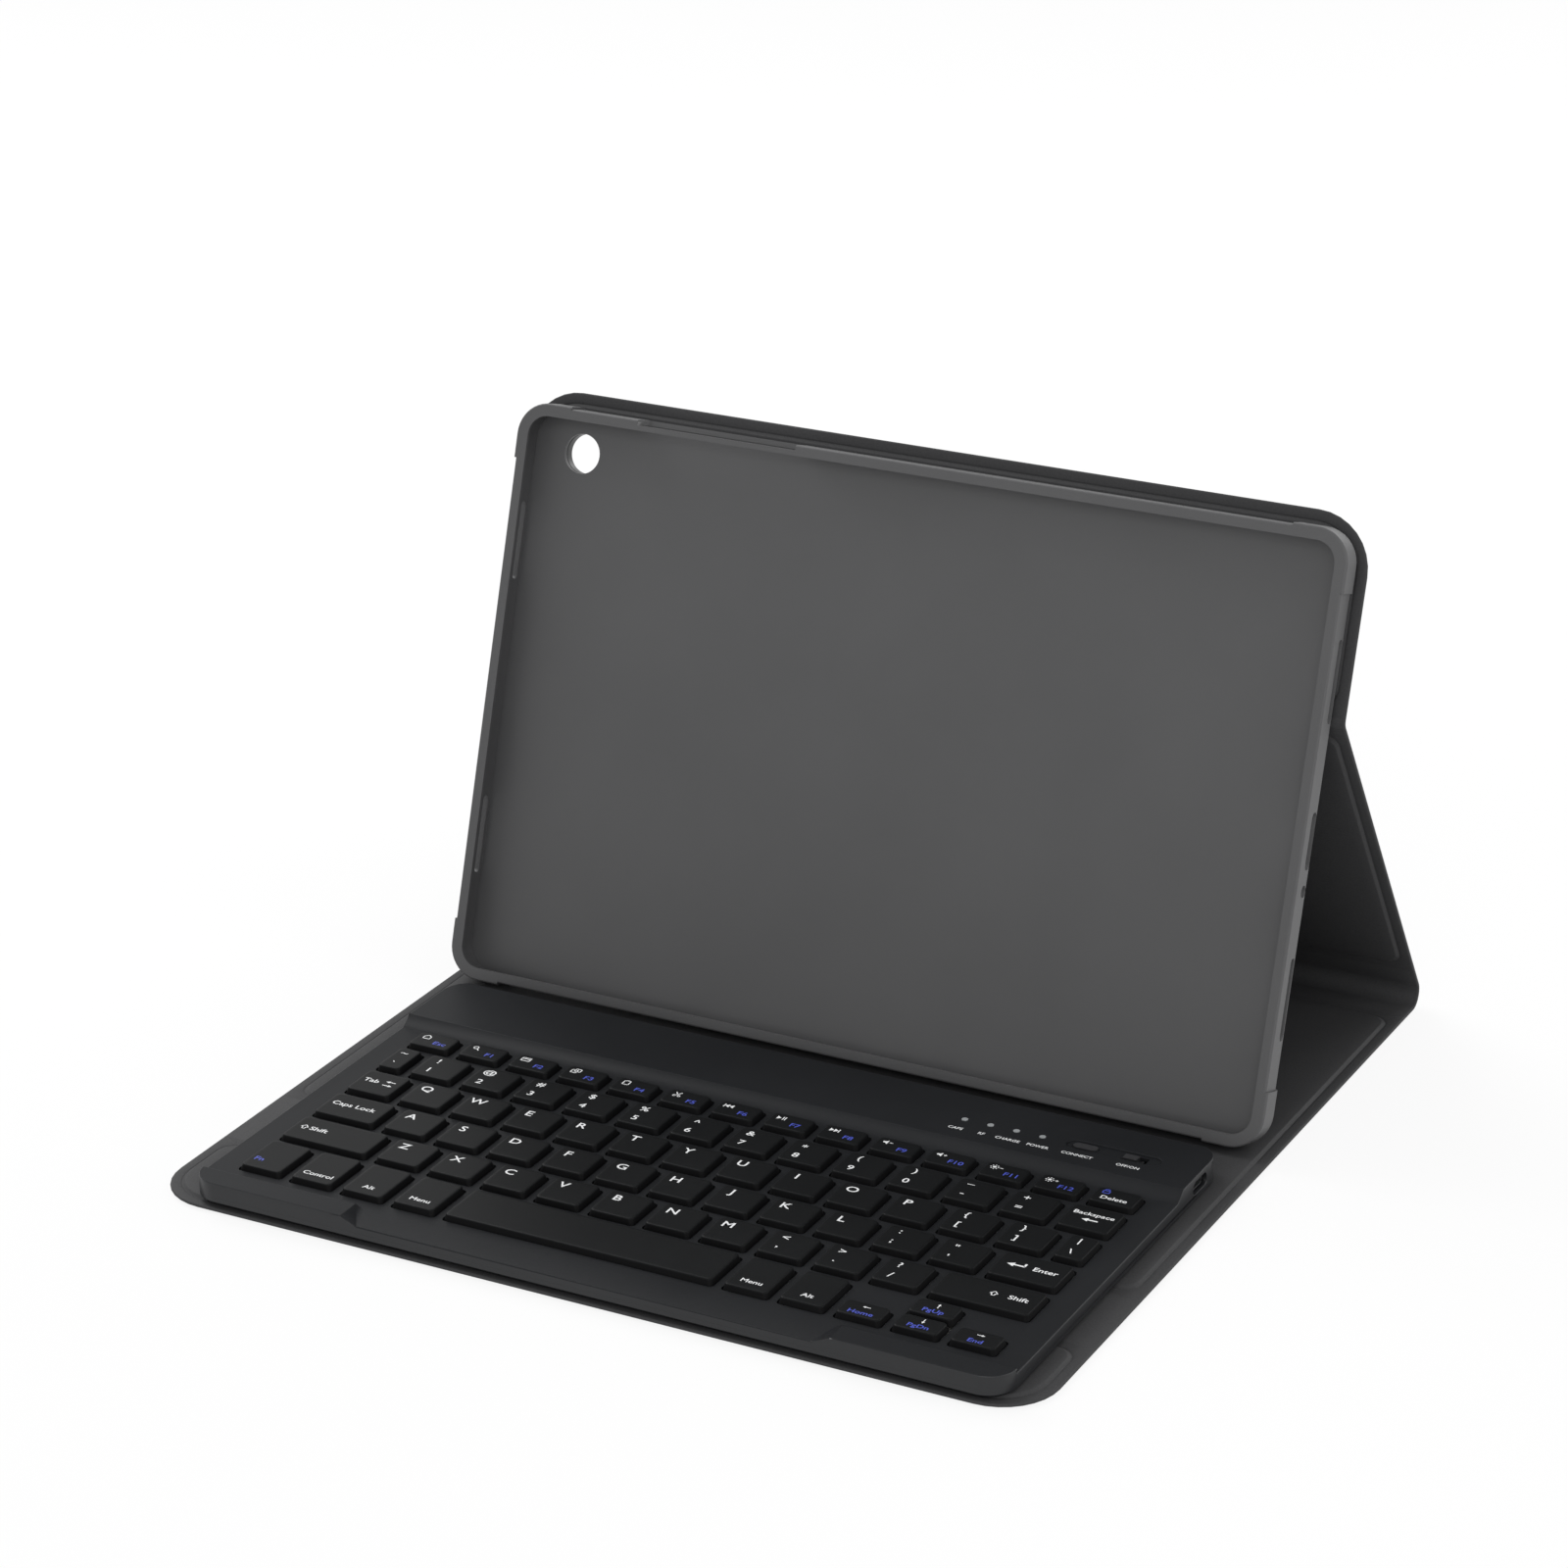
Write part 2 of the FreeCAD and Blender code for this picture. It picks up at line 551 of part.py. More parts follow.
link_pair = [turned(link_frame(LINK_WIDTH), LINK_TILT, Vector(0, 0, 0)),
             turned(link_frame(LINK_INNER), -LINK_TILT, Vector(0, 0, 0))]
links = []
domes = []
for node, (x0, x1, y0, y1) in key_cells:
    middle = Vector((x0 + x1) / 2, (y0 + y1) / 2, (membrane_top + key_seat) / 2)
    dome_foot = Vector(middle.x, middle.y, membrane_top)
    domes.append(Part.makeCone(DOME_FOOT, DOME_TIP, key_seat - membrane_top, dome_foot))
    if x1 - x0 >= LINK_WIDTH - 2 * KEY_TAPER:
        for link in link_pair:
            links.append(turned(link, 0, middle))
keyboard["rubber_domes"] = Part.makeCompound(domes)
keyboard["scissor_links"] = Part.makeCompound(links)

# Bottom case: floor and low wall, ribs under the circuit board, recesses for feet and screws
boss_x = case_half - BOSS_IN
screw_places = [(side * boss_x, y) for side in (-1, 1)
                for y in (BOSS_ENDS, keyboard_depth / 2, keyboard_depth - BOSS_ENDS)]
screw_places.append((board_left - 3 * BOSS_RADIUS, bar_front + CONTROL_Y))
screw_places.append((BATTERY_X - BATTERY_LENGTH / 2 - 3 * BOSS_RADIUS, bar_front + CONTROL_Y))
foot_places = [(side * (case_half - FOOT_IN), y) for side in (-1, 1)
               for y in (FOOT_ENDS + BOSS_ENDS, keyboard_depth - FOOT_ENDS)]


def case_area(inset, z0, z1):
    """Solid on the keyboard's outline drawn in by an inset."""
    corner = KEYBOARD_CORNER - inset
    half = case_half - inset
    return plate(-half, half, inset, keyboard_depth - inset, z0, z1, corner, corner)


bottom = case_area(0, 0, SEAM)
bottom = bottom.makeChamfer(CASE_CHAMFER, edges_at(bottom, 0))
bottom = bottom.cut(case_area(CASE_WALL, CASE_FLOOR, SEAM))
rib_centre = (board_left + board_right) / 2
rib_length = board_right - board_left - 2 * RIB_IN
ribs = [block(rib_centre, y, rib_length, RIB_WIDTH, CASE_FLOOR / 2, membrane_top)
        for y in (board_front + RIB_IN + RIB_WIDTH / 2, board_front + board_depth - RIB_IN)]
bottom = joined([bottom] + ribs)
recesses = [post(x, y, FOOT_RADIUS, 0, FOOT_RECESS) for x, y in foot_places]
recesses += [post(x, y, SCREW_HEAD, 0, SCREW_HEAD_HEIGHT) for x, y in screw_places]
recesses += [post(x, y, SCREW_RADIUS, 0, CASE_FLOOR) for x, y in screw_places]
keyboard["bottom_case"] = cut(bottom, recesses)
keyboard["rubber_feet"] = Part.makeCompound([post(x, y, FOOT_RADIUS, -FOOT_GAP, FOOT_RECESS)
                                             for x, y in foot_places])

# Deck: flat key field, rear bar with a sloped front, front ridges, bosses for the screws
slope_foot = bar_front - BAR_SLOPE
deck = across([(0, SEAM), (keyboard_depth, SEAM), (keyboard_depth, BAR_HEIGHT, BAR_ROUND),
               (bar_front, BAR_HEIGHT, DECK_EDGE), (slope_foot, DECK_HEIGHT), (RIDGE_DEPTH, DECK_HEIGHT),
               (0, LIP_HEIGHT, DECK_EDGE)], case_half)
ridge_end = RIDGE_LENGTH + RIDGE_SLOPE
ridge_line = [(0, SEAM), (ridge_end, SEAM), (ridge_end, LIP_HEIGHT),
              (RIDGE_LENGTH, RIDGE_HEIGHT), (0, RIDGE_HEIGHT)]
shapes = [deck]
for side in (-1, 1):
    ridge = [(Vector(side * (case_half - x), 0, z), 0.0) for x, z in ridge_line]
    shapes.append(prism(ridge, Vector(0, RIDGE_DEPTH, 0)))
deck = joined(shapes).common(case_area(0, SEAM, BAR_HEIGHT))
ceiling = DECK_HEIGHT - CASE_TOP
bar_ceiling = BAR_HEIGHT - CASE_TOP
cavity_rear = keyboard_depth - CASE_WALL
cavity = across([(CASE_WALL, SEAM), (cavity_rear, SEAM), (cavity_rear, bar_ceiling),
                 (bar_front + CASE_TOP / 2, bar_ceiling), (slope_foot + CASE_TOP / 2, ceiling),
                 (RIDGE_DEPTH, ceiling), (CASE_WALL, LIP_HEIGHT - CASE_TOP)], case_half - CASE_WALL)
deck = deck.cut(cavity.common(case_area(CASE_WALL, SEAM, BAR_HEIGHT)))
screw_tips = [(x, y, bar_ceiling if y > bar_front else ceiling) for x, y in screw_places]
bosses = [post(x, y, BOSS_RADIUS, CASE_FLOOR, tip + CASE_TOP / 2) for x, y, tip in screw_tips]
deck = joined([deck] + bosses)
control_y = bar_front + CONTROL_Y
led_places = [(case_half - LED_IN + i * LED_PITCH, control_y) for i in range(LED_COUNT)]
button_x = case_half - BUTTON_IN
knob_x = case_half - KNOB_IN
recess_floor = BAR_HEIGHT - RECESS[2]
port_middle = membrane_top + BOARD_THICK + PORT[1] / 2
mouth = stadium(0, 0, PORT_MOUTH[0], PORT_MOUTH[1], -CASE_WALL, CASE_WALL)
mouth.rotate(Vector(0, 0, 0), Vector(0, 0, 1), 90)
mouth.rotate(Vector(0, 0, 0), Vector(0, 1, 0), 90)
mouth.translate(Vector(case_half - CASE_WALL / 2, control_y, port_middle))
slot_room = 2 * CONTROL_CLEARANCE
controls = [
    stadium(case_half - RECESS_IN, control_y, RECESS[0], RECESS[1], recess_floor, BAR_HEIGHT),
    stadium(button_x, control_y, BUTTON[0] + slot_room, BUTTON[1] + slot_room, SEAM, BAR_HEIGHT),
    block(knob_x + KNOB_TRAVEL / 2, control_y, KNOB[0] + KNOB_TRAVEL + slot_room, KNOB[1] + slot_room,
          SEAM, BAR_HEIGHT),
    mouth,
]
lamps = [post(x, y, LED_RADIUS, SEAM, BAR_HEIGHT) for x, y in led_places]
pilots = [post(x, y, SCREW_RADIUS, CASE_FLOOR, tip) for x, y, tip in screw_tips]
keyboard["deck"] = cut(deck, openings + controls + lamps + pilots)
keyboard["case_screws"] = Part.makeCompound([
    joined([post(x, y, SCREW_HEAD, 0, SCREW_HEAD_HEIGHT), post(x, y, SCREW_RADIUS, 0, tip)])
    for x, y, tip in screw_tips])

# Electronics: circuit board on its ribs, radio shield, battery, charging socket, lamps and controls
board_top = membrane_top + BOARD_THICK
board = plate(board_left, board_right, board_front, board_front + board_depth, membrane_top, board_top)
chips = [block(x, y, LED_CHIP, LED_CHIP, membrane_top, board_top + LED_CHIP_HEIGHT) for x, y in led_places]
keyboard["main_board"] = joined([board] + chips)
shield_y = board_front + board_depth - SHIELD[1] / 2 - FIELD_MARGIN
keyboard["radio_shield"] = block(case_half - SHIELD_IN, shield_y, SHIELD[0], SHIELD[1],
                                 board_top, board_top + SHIELD[2])
battery_y = board_front + board_depth / 2
keyboard["battery"] = block(BATTERY_X, battery_y, BATTERY_LENGTH, board_depth,
                            CASE_FLOOR, CASE_FLOOR + BATTERY_HEIGHT)
keyboard["battery_flex"] = plate(BATTERY_X + BATTERY_LENGTH / 2, board_left + FLEX_LAP,
                                 board_front + board_depth - 2 * FLEX_WIDTH,
                                 board_front + board_depth - FLEX_WIDTH, board_top, board_top + FLEX_THICK)
port_right = case_half - CASE_WALL + PORT_SHELL
port = plate(port_right - PORT_LENGTH, port_right, control_y - PORT[0] / 2, control_y + PORT[0] / 2,
             board_top, board_top + PORT[1])
port_hollow = plate(port_right - PORT_LENGTH + PORT_SHELL, port_right,
                    control_y - PORT[0] / 2 + PORT_SHELL, control_y + PORT[0] / 2 - PORT_SHELL,
                    board_top + PORT_SHELL, board_top + PORT[1] - PORT_SHELL)
keyboard["charging_socket"] = port.cut(port_hollow)
lens_foot = board_top + LED_CHIP_HEIGHT
keyboard["indicator_lenses"] = Part.makeCompound([post(x, y, LED_RADIUS, lens_foot, BAR_HEIGHT)
                                                  for x, y in led_places])
control_top = recess_floor + CONTROL_PROUD
flange_top = bar_ceiling - CONTROL_CLEARANCE / 2
button_foot = flange_top - BUTTON_FLANGE_THICK
keyboard["connect_button"] = joined([
    stadium(button_x, control_y, BUTTON[0], BUTTON[1], button_foot, control_top),
    stadium(button_x, control_y, BUTTON[0] + 2 * BUTTON_FLANGE, BUTTON[1] + 2 * BUTTON_FLANGE,
            button_foot, flange_top)])
tact_tip = button_foot - BUTTON_TRAVEL - CONTROL_CLEARANCE / 2
keyboard["tact_switch"] = joined([
    block(button_x, control_y, TACT[0], TACT[1], board_top, board_top + TACT[2]),
    post(button_x, control_y, TACT_PLUNGER, board_top, tact_tip)])
slider_foot = flange_top - SLIDER_THICK
keyboard["switch_slider"] = joined([
    block(knob_x, control_y, KNOB[0], KNOB[1], slider_foot, control_top),
    block(knob_x, control_y, KNOB[0] + KNOB_TRAVEL, KNOB[1] + 2 * BUTTON_FLANGE, slider_foot, flange_top)])
keyboard["slide_switch"] = block(knob_x + KNOB_TRAVEL / 2, control_y, SWITCH[0], SWITCH[1],
                                 board_top, slider_foot - CONTROL_CLEARANCE)
front_magnet_y = CASE_WALL + FIELD_MARGIN + MAGNET_WIDTH / 2
keyboard["keyboard_magnets"] = Part.makeCompound(magnet_bars(
    [(x, y) for x in (-MAGNET_SPREAD, MAGNET_SPREAD) for y in (front_magnet_y, rear_magnet_y)],
    CASE_FLOOR, CASE_FLOOR + KEYBOARD_MAGNET))

for node, shape in keyboard.items():
    parts[node] = turned(shape, 0, keyboard_place)

# Each piece is written about the middle of the case's depth
os.makedirs("parts", exist_ok=True)
for node, shape in parts.items():
    turned(shape, 0, Vector(0, -depth / 2, 0)).exportStep(os.path.join("parts", node + ".step"))
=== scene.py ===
import json
import math

import bmesh
import bpy
import numpy as np
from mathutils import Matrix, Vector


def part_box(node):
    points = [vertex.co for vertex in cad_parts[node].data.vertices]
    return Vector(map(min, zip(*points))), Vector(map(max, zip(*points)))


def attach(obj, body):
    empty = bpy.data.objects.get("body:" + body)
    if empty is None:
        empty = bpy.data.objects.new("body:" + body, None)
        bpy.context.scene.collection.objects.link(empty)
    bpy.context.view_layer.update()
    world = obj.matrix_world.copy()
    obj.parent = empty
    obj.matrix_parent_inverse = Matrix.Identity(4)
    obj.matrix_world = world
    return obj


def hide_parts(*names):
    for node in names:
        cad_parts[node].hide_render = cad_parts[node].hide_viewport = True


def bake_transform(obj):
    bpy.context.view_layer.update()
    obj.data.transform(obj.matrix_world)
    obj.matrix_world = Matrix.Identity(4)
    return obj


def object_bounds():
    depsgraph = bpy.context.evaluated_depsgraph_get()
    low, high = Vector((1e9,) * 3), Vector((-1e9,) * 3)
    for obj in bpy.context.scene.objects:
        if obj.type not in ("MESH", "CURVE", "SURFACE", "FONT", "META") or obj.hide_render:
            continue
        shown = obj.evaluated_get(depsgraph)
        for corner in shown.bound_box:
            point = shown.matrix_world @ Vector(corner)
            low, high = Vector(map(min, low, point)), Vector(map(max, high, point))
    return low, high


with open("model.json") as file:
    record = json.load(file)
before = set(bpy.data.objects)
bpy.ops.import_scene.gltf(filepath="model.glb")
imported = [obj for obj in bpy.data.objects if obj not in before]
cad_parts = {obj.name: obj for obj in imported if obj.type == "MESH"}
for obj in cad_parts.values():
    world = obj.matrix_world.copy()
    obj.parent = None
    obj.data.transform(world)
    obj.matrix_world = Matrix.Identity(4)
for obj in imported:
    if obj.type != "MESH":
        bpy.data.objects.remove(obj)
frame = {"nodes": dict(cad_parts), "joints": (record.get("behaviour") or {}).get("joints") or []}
nodes = frame["nodes"]
cad_box = [list(map(float, corner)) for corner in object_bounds()]

# Base panel: the part of the folding cover that lies on the table. Two layers of faux leather are
# heat pressed round a stiff board, which leaves a raised field inside a flat, turned-in border.
# Lengths are in millimetres, but the step and groove of that border are in shares of the step's width.
MM = 0.001
SAME_POINT = 0.001
COVER_HALF = 128.0
HALF_PANEL = 1.1
HALF_BORDER = 0.5
WELT_OUT = 3.2
WELT_IN = 4.2
WELT_GROOVE = 0.14
STEP_START = -0.6
GROOVE_AT = -0.1
GROOVE_SPREAD = 0.22
WELT_STEPS = 12
NOSE_STEPS = 6
FIELD_EASE = 3.0
PANEL_CORNER = 5.0
SQUARE_CORNER = 0.05
FLAP_PANEL = 37.0
FLAP_STRIP = 22.0
CREASE = 3.0
CLOUD_DARK = 0.3
CLOUD_LIGHT = 0.7
flap_front = cad_box[0][1] / MM
base_start = flap_front + FLAP_PANEL + FLAP_STRIP + 2 * CREASE
base_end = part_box("base_skin")[1][1] / MM


def linear(hex_colour):
    """sRGB hex to linear RGBA: each channel through the sRGB decoding curve."""
    channels = [int(hex_colour[i:i + 2], 16) / 255 for i in (1, 3, 5)]
    return tuple(c / 12.92 if c <= 0.04045 else ((c + 0.055) / 1.055) ** 2.4 for c in channels) + (1.0,)


def add(owner, kind, settings=None, ordered=(), **inputs):
    """Adds a node to a material or a world. Settings are its own properties. Inputs are socket values or
    sockets that feed them: by name, or in the node's own order where names repeat."""
    made = owner.node_tree.nodes.new(kind)
    for key, value in (settings or {}).items():
        setattr(made, key, value)
    named = {key.replace("_", " "): value for key, value in inputs.items()}
    for place, value in list(enumerate(ordered)) + list(named.items()):
        if isinstance(value, bpy.types.NodeSocket):
            owner.node_tree.links.new(value, made.inputs[place])
        else:
            made.inputs[place].default_value = value
    return made


def blank_material(name):
    """A node material with nothing in it but its output."""
    material = bpy.data.materials.new(name)
    material.use_nodes = True
    material.node_tree.nodes.clear()
    return material


def grained(name, dark, light, roughness, grain_mm, relief_mm, cloud_mm=40.0, spread=0.06, **gloss):
    """Moulded or pressed surface. Colour drifts between two shades over a slow cloud of noise, roughness
    drifts with it, and a fine noise of the grain's size lifts the surface by the relief."""
    material = blank_material(name)
    place = add(material, "ShaderNodeTexCoord").outputs["Object"]
    cloud = add(material, "ShaderNodeTexNoise", Vector=place, Scale=1 / (cloud_mm * MM), Detail=4.0)
    grain = add(material, "ShaderNodeTexNoise", Vector=place, Scale=1 / (grain_mm * MM), Detail=2.0)
    shades = add(material, "ShaderNodeValToRGB", Fac=cloud.outputs["Fac"])
    shades.color_ramp.elements[0].position = CLOUD_DARK
    shades.color_ramp.elements[0].color = linear(dark)
    shades.color_ramp.elements[1].position = CLOUD_LIGHT
    shades.color_ramp.elements[1].color = linear(light)
    rough = add(material, "ShaderNodeMapRange", Value=cloud.outputs["Fac"], To_Min=roughness - spread,
                To_Max=roughness + spread)
    relief = add(material, "ShaderNodeBump", Height=grain.outputs["Fac"], Distance=relief_mm * MM,
                 Strength=1.0)
    surface = add(material, "ShaderNodeBsdfPrincipled", Base_Color=shades.outputs["Color"],
                  Roughness=rough.outputs["Result"], Normal=relief.outputs["Normal"], **gloss)
    add(material, "ShaderNodeOutputMaterial", Surface=surface.outputs["BSDF"])
    return material


def rounded_ring(x0, x1, y0, y1, front_radius, rear_radius, steps=8):
    """Points anticlockwise round a rectangle: a quarter circle about each corner's centre."""
    quarter = np.linspace(0, math.pi / 2, steps + 1)
    corners = ((x0 + front_radius, y0 + front_radius, front_radius, 2),
               (x1 - front_radius, y0 + front_radius, front_radius, 3),
               (x1 - rear_radius, y1 - rear_radius, rear_radius, 0),
               (x0 + rear_radius, y1 - rear_radius, rear_radius, 1))
    return np.concatenate([np.stack([cx + r * np.cos(quarter + turn * math.pi / 2),
                                     cy + r * np.sin(quarter + turn * math.pi / 2)], -1)
                           for cx, cy, r, turn in corners])


def ring_faces(count, size, looped=False):
    """Quads between rings of equal size, taken in order. The last ring joins the first if they are looped;
    otherwise one face closes each end."""
    row = np.arange(count if looped else count - 1)[:, None] * size
    onward = (row + size) % (count * size)
    here = np.arange(size)
    after = (here + 1) % size
    quads = np.stack([row + here, row + after, onward + after, onward + here], -1).reshape(-1, 4).tolist()
    ends = [list(range(size))[::-1], list(range((count - 1) * size, count * size))]
    return quads if looped else quads + ends


def add_piece(name, points_mm, faces, material, sharp_degrees=40.0):
    """Mesh object at the origin from points in millimetres, shaded smooth below the sharp angle."""
    mesh = bpy.data.meshes.new(name)
    mesh.from_pydata((np.asarray(points_mm) * MM).tolist(), [], faces)
    mesh.polygons.foreach_set("use_smooth", np.ones(len(mesh.polygons), bool))
    mesh.set_sharp_from_angle(angle=math.radians(sharp_degrees))
    mesh.materials.append(material)
    piece = bpy.data.objects.new(name, mesh)
    bpy.context.scene.collection.objects.link(piece)
    return piece


def stood_up(points, degrees, foot):
    """Turns points about x and moves them so that their origin meets the foot point (y, z)."""
    turn = math.radians(degrees)
    x, y, z = points[..., 0], points[..., 1], points[..., 2]
    return np.stack([x, foot[0] + y * math.cos(turn) - z * math.sin(turn),
                     foot[1] + y * math.sin(turn) + z * math.cos(turn)], -1)


def panel_points(length, front_radius, rear_radius, front_free, rear_free):
    """Rings of a pressed panel about its middle layer, from the outer face round the edge to the inner face.
    Height is a smooth step from the thin border up to the raised field, less a narrow bell-shaped groove at
    the step's foot. A free edge is a half circle; a joined edge is cut square."""
    step = np.linspace(STEP_START, 1.0, WELT_STEPS + 1)
    climb = np.clip(step, 0, 1)
    ease = climb * climb * (3 - 2 * climb)
    groove = WELT_GROOVE * np.exp(-((step - GROOVE_AT) / GROOVE_SPREAD) ** 2)
    nose = np.linspace(-math.pi / 2, math.pi / 2, NOSE_STEPS + 1)
    rise = HALF_BORDER + (HALF_PANEL - HALF_BORDER) * ease - groove
    inset = WELT_OUT + (WELT_IN - WELT_OUT) * step
    outer = [(WELT_IN + FIELD_EASE, WELT_IN + FIELD_EASE, -HALF_PANEL)]
    outer += [(d, d, -h) for d, h in zip(inset[::-1], rise[::-1])]
    edge = [(HALF_BORDER * (1 - math.cos(a)), 0.0, HALF_BORDER * math.sin(a)) for a in nose]
    inner = [(d, e, -h) for d, e, h in reversed(outer)]
    rings = []
    for side, end, height in outer + edge + inner:
        nosed = end == 0.0
        front = side if (front_free or not nosed) else 0.0
        rear = side if (rear_free or not nosed) else 0.0
        floor = PANEL_CORNER if side > HALF_BORDER else SQUARE_CORNER
        ring = rounded_ring(-COVER_HALF + side, COVER_HALF - side, front, length - rear,
                            max(front_radius - side, floor), max(rear_radius - side, floor))
        rings.append(np.column_stack([ring, np.full(len(ring), height)]))
    return np.array(rings)


def cover_panel(name, length, degrees, foot, body, radii, free, hole=None):
    """A pressed panel placed on its body, in place of its two leather layers. A hole is (x, y, radius): a
    ring on each face, and the wall between them."""
    rings = panel_points(length, radii[0], radii[1], free[0], free[1])
    if hole:
        x, y, r = hole
        rim = rounded_ring(x - r, x + r, y - r, y + r, r, r)
        rims = [np.column_stack([rim, np.full(len(rim), z)]) for z in (-HALF_PANEL, HALF_PANEL)]
        rings = np.concatenate([rims[:1], rings, rims[1:]])
    points = stood_up(rings, degrees, foot).reshape(-1, 3)
    piece = add_piece(name + "_cover", points, ring_faces(*rings.shape[:2], looped=bool(hole)), faux_leather)
    if hole:
        merged = bmesh.new()
        merged.from_mesh(piece.data)
        bmesh.ops.remove_doubles(merged, verts=merged.verts, dist=SAME_POINT * MM)
        merged.to_mesh(piece.data)
        merged.free()
    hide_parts(name + "_skin", name + "_lining")
    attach(piece, body)


# Polyurethane faux leather, calendered almost smooth: an even, matte dark grey to the eye. Only close up are
# the creases round each pebble painted a little darker than its crown, as painted shade.
PEBBLE = 0.5
PEBBLE_CROWN = 0.15
PEBBLE_CREASE = 0.75
PEBBLE_RELIEF = 0.012
SHEEN_DRIFT = 70.0
faux_leather = blank_material("pressed polyurethane leather")
place = add(faux_leather, "ShaderNodeTexCoord").outputs["Object"]
pebble = add(faux_leather, "ShaderNodeTexVoronoi", {"feature": "SMOOTH_F1"}, Vector=place,
             Scale=1 / (PEBBLE * MM), Smoothness=0.4).outputs["Distance"]
drift = add(faux_leather, "ShaderNodeTexNoise", Vector=place, Scale=1 / (SHEEN_DRIFT * MM), Detail=3.0)
crown = add(faux_leather, "ShaderNodeMapRange", Value=pebble, From_Min=PEBBLE_CROWN,
            From_Max=PEBBLE_CREASE, To_Min=1.0, To_Max=0.0)
# Painted shade: the ramp makes the creases round each pebble darker than the crowns.
shades = add(faux_leather, "ShaderNodeValToRGB", Fac=crown.outputs["Result"])
shades.color_ramp.elements[0].color = linear("#3b3b3c")
shades.color_ramp.elements[1].color = linear("#404041")
rough = add(faux_leather, "ShaderNodeMapRange", Value=drift.outputs["Fac"], To_Min=0.52, To_Max=0.64)
relief = add(faux_leather, "ShaderNodeBump", Height=crown.outputs["Result"], Distance=PEBBLE_RELIEF * MM)
hide = add(faux_leather, "ShaderNodeBsdfPrincipled", Base_Color=shades.outputs["Color"],
           Roughness=rough.outputs["Result"], Normal=relief.outputs["Normal"], Specular_IOR_Level=0.12)
add(faux_leather, "ShaderNodeOutputMaterial", Surface=hide.outputs["BSDF"])
cover_panel("base", base_end - base_start, 0.0, (base_start, HALF_PANEL), "base", (0.0, 0.0), (False, False))

# Spine: the same leather with no board in it, so it rounds the rear fold from base to stand.
# It is one strip, 1 mm thick. On the case it bends over its whole run when the case is laid out flat; this
# one is built in a single pose.
SPINE_RADIUS = 4.2
SPINE_FLAT = 7.0
FLAT_STEPS = 4
BEND_STEPS = 24
STAND_ANGLE = 55.5
lean = math.radians(STAND_ANGLE)
arc_start = base_end + SPINE_FLAT
stand_up_y = -math.cos(lean)
stand_up_z = math.sin(lean)


def strip_points(path, normals, half=COVER_HALF):
    """Closed sections along a side path: across the width at half a thickness below the path, round one
    edge, back across above it and round the other edge."""
    nose = np.linspace(-math.pi / 2, math.pi / 2, NOSE_STEPS + 1)
    across = half - HALF_BORDER + HALF_BORDER * np.cos(nose)
    lift = HALF_BORDER * np.sin(nose)
    section_x = np.concatenate([across, -across[::-1]])
    section_n = np.concatenate([lift, lift[::-1]])
    path = np.asarray(path)[:, None, :]
    normals = np.asarray(normals)[:, None, :]
    side = path + normals * section_n[None, :, None]
    return np.concatenate([np.broadcast_to(section_x[None, :, None], side.shape[:2] + (1,)), side], -1)


def soft_piece(name, path, normals, node):
    """A soft strip of the cover in place of its node."""
    sections = strip_points(path, normals)
    piece = add_piece(name, sections.reshape(-1, 3), ring_faces(*sections.shape[:2]), faux_leather)
    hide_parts(node)
    return piece


flat_run = np.linspace(base_end, arc_start, FLAT_STEPS + 1)[:-1]
bend = np.linspace(0, math.pi - lean, BEND_STEPS + 1)
climb = np.linspace(0, SPINE_FLAT, FLAT_STEPS + 1)[1:]
arc_y = arc_start + SPINE_RADIUS * np.sin(bend)
arc_z = HALF_PANEL + SPINE_RADIUS * (1 - np.cos(bend))
spine_y = np.concatenate([flat_run, arc_y, arc_y[-1] + climb * stand_up_y])
spine_z = np.concatenate([np.full(FLAT_STEPS, HALF_PANEL), arc_z, arc_z[-1] + climb * stand_up_z])
spine_path = np.stack([spine_y, spine_z], -1)
spine_turn = np.concatenate([np.zeros(FLAT_STEPS), bend, np.full(FLAT_STEPS, math.pi - lean)])
spine_normals = np.stack([-np.sin(spine_turn), np.cos(spine_turn)], -1)
spine = soft_piece("spine_leather", spine_path, spine_normals, "spine_strip")
stand_foot = spine_path[-1]
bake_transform(spine)

# Stand panel, its crease and the upper back panel: the rear of the cover. The stand leans against the tray's
# back, and the upper panel is glued to the tray. Its two free corners are cut round.
TRAY_TILT = 73.0
COVER_CORNER = 16.0
BACK_LENGTH = 54.0
CREASE_STEPS = 8
CAMERA_X = -108.5
CAMERA_DOWN = 17.0
CAMERA_RIM = 7.8
tilt = math.radians(TRAY_TILT)
fold = next(j for j in frame["joints"] if j["name"] == "stand_fold")
kink = np.array(fold["pos_m"][1:]) / MM
stand_length = float(np.hypot(*(kink - stand_foot))) - CREASE / 2
cover_panel("stand", stand_length, 180.0 - STAND_ANGLE, stand_foot, "stand", (0.0, 0.0), (False, False))
tray_way = np.array([math.cos(tilt), math.sin(tilt)])
stand_way = np.array([stand_up_y, stand_up_z])
back_foot = kink + tray_way * CREASE / 2
cover_panel("back", BACK_LENGTH, TRAY_TILT, back_foot, "back", (0.0, COVER_CORNER), (False, True),
            (CAMERA_X, BACK_LENGTH - CAMERA_DOWN, CAMERA_RIM))
turn = np.linspace(0, 1, CREASE_STEPS + 1)
crease_low = kink - stand_way * CREASE / 2
crease_path = ((1 - turn) ** 2)[:, None] * crease_low + (2 * turn * (1 - turn))[:, None] * kink \
    + (turn ** 2)[:, None] * back_foot
crease_angle = (math.pi - lean) + turn * (tilt - (math.pi - lean))
crease_normals = np.stack([-np.sin(crease_angle), np.cos(crease_angle)], -1)
stand_crease = soft_piece("stand_crease_leather", crease_path, crease_normals, "stand_crease")
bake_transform(stand_crease)
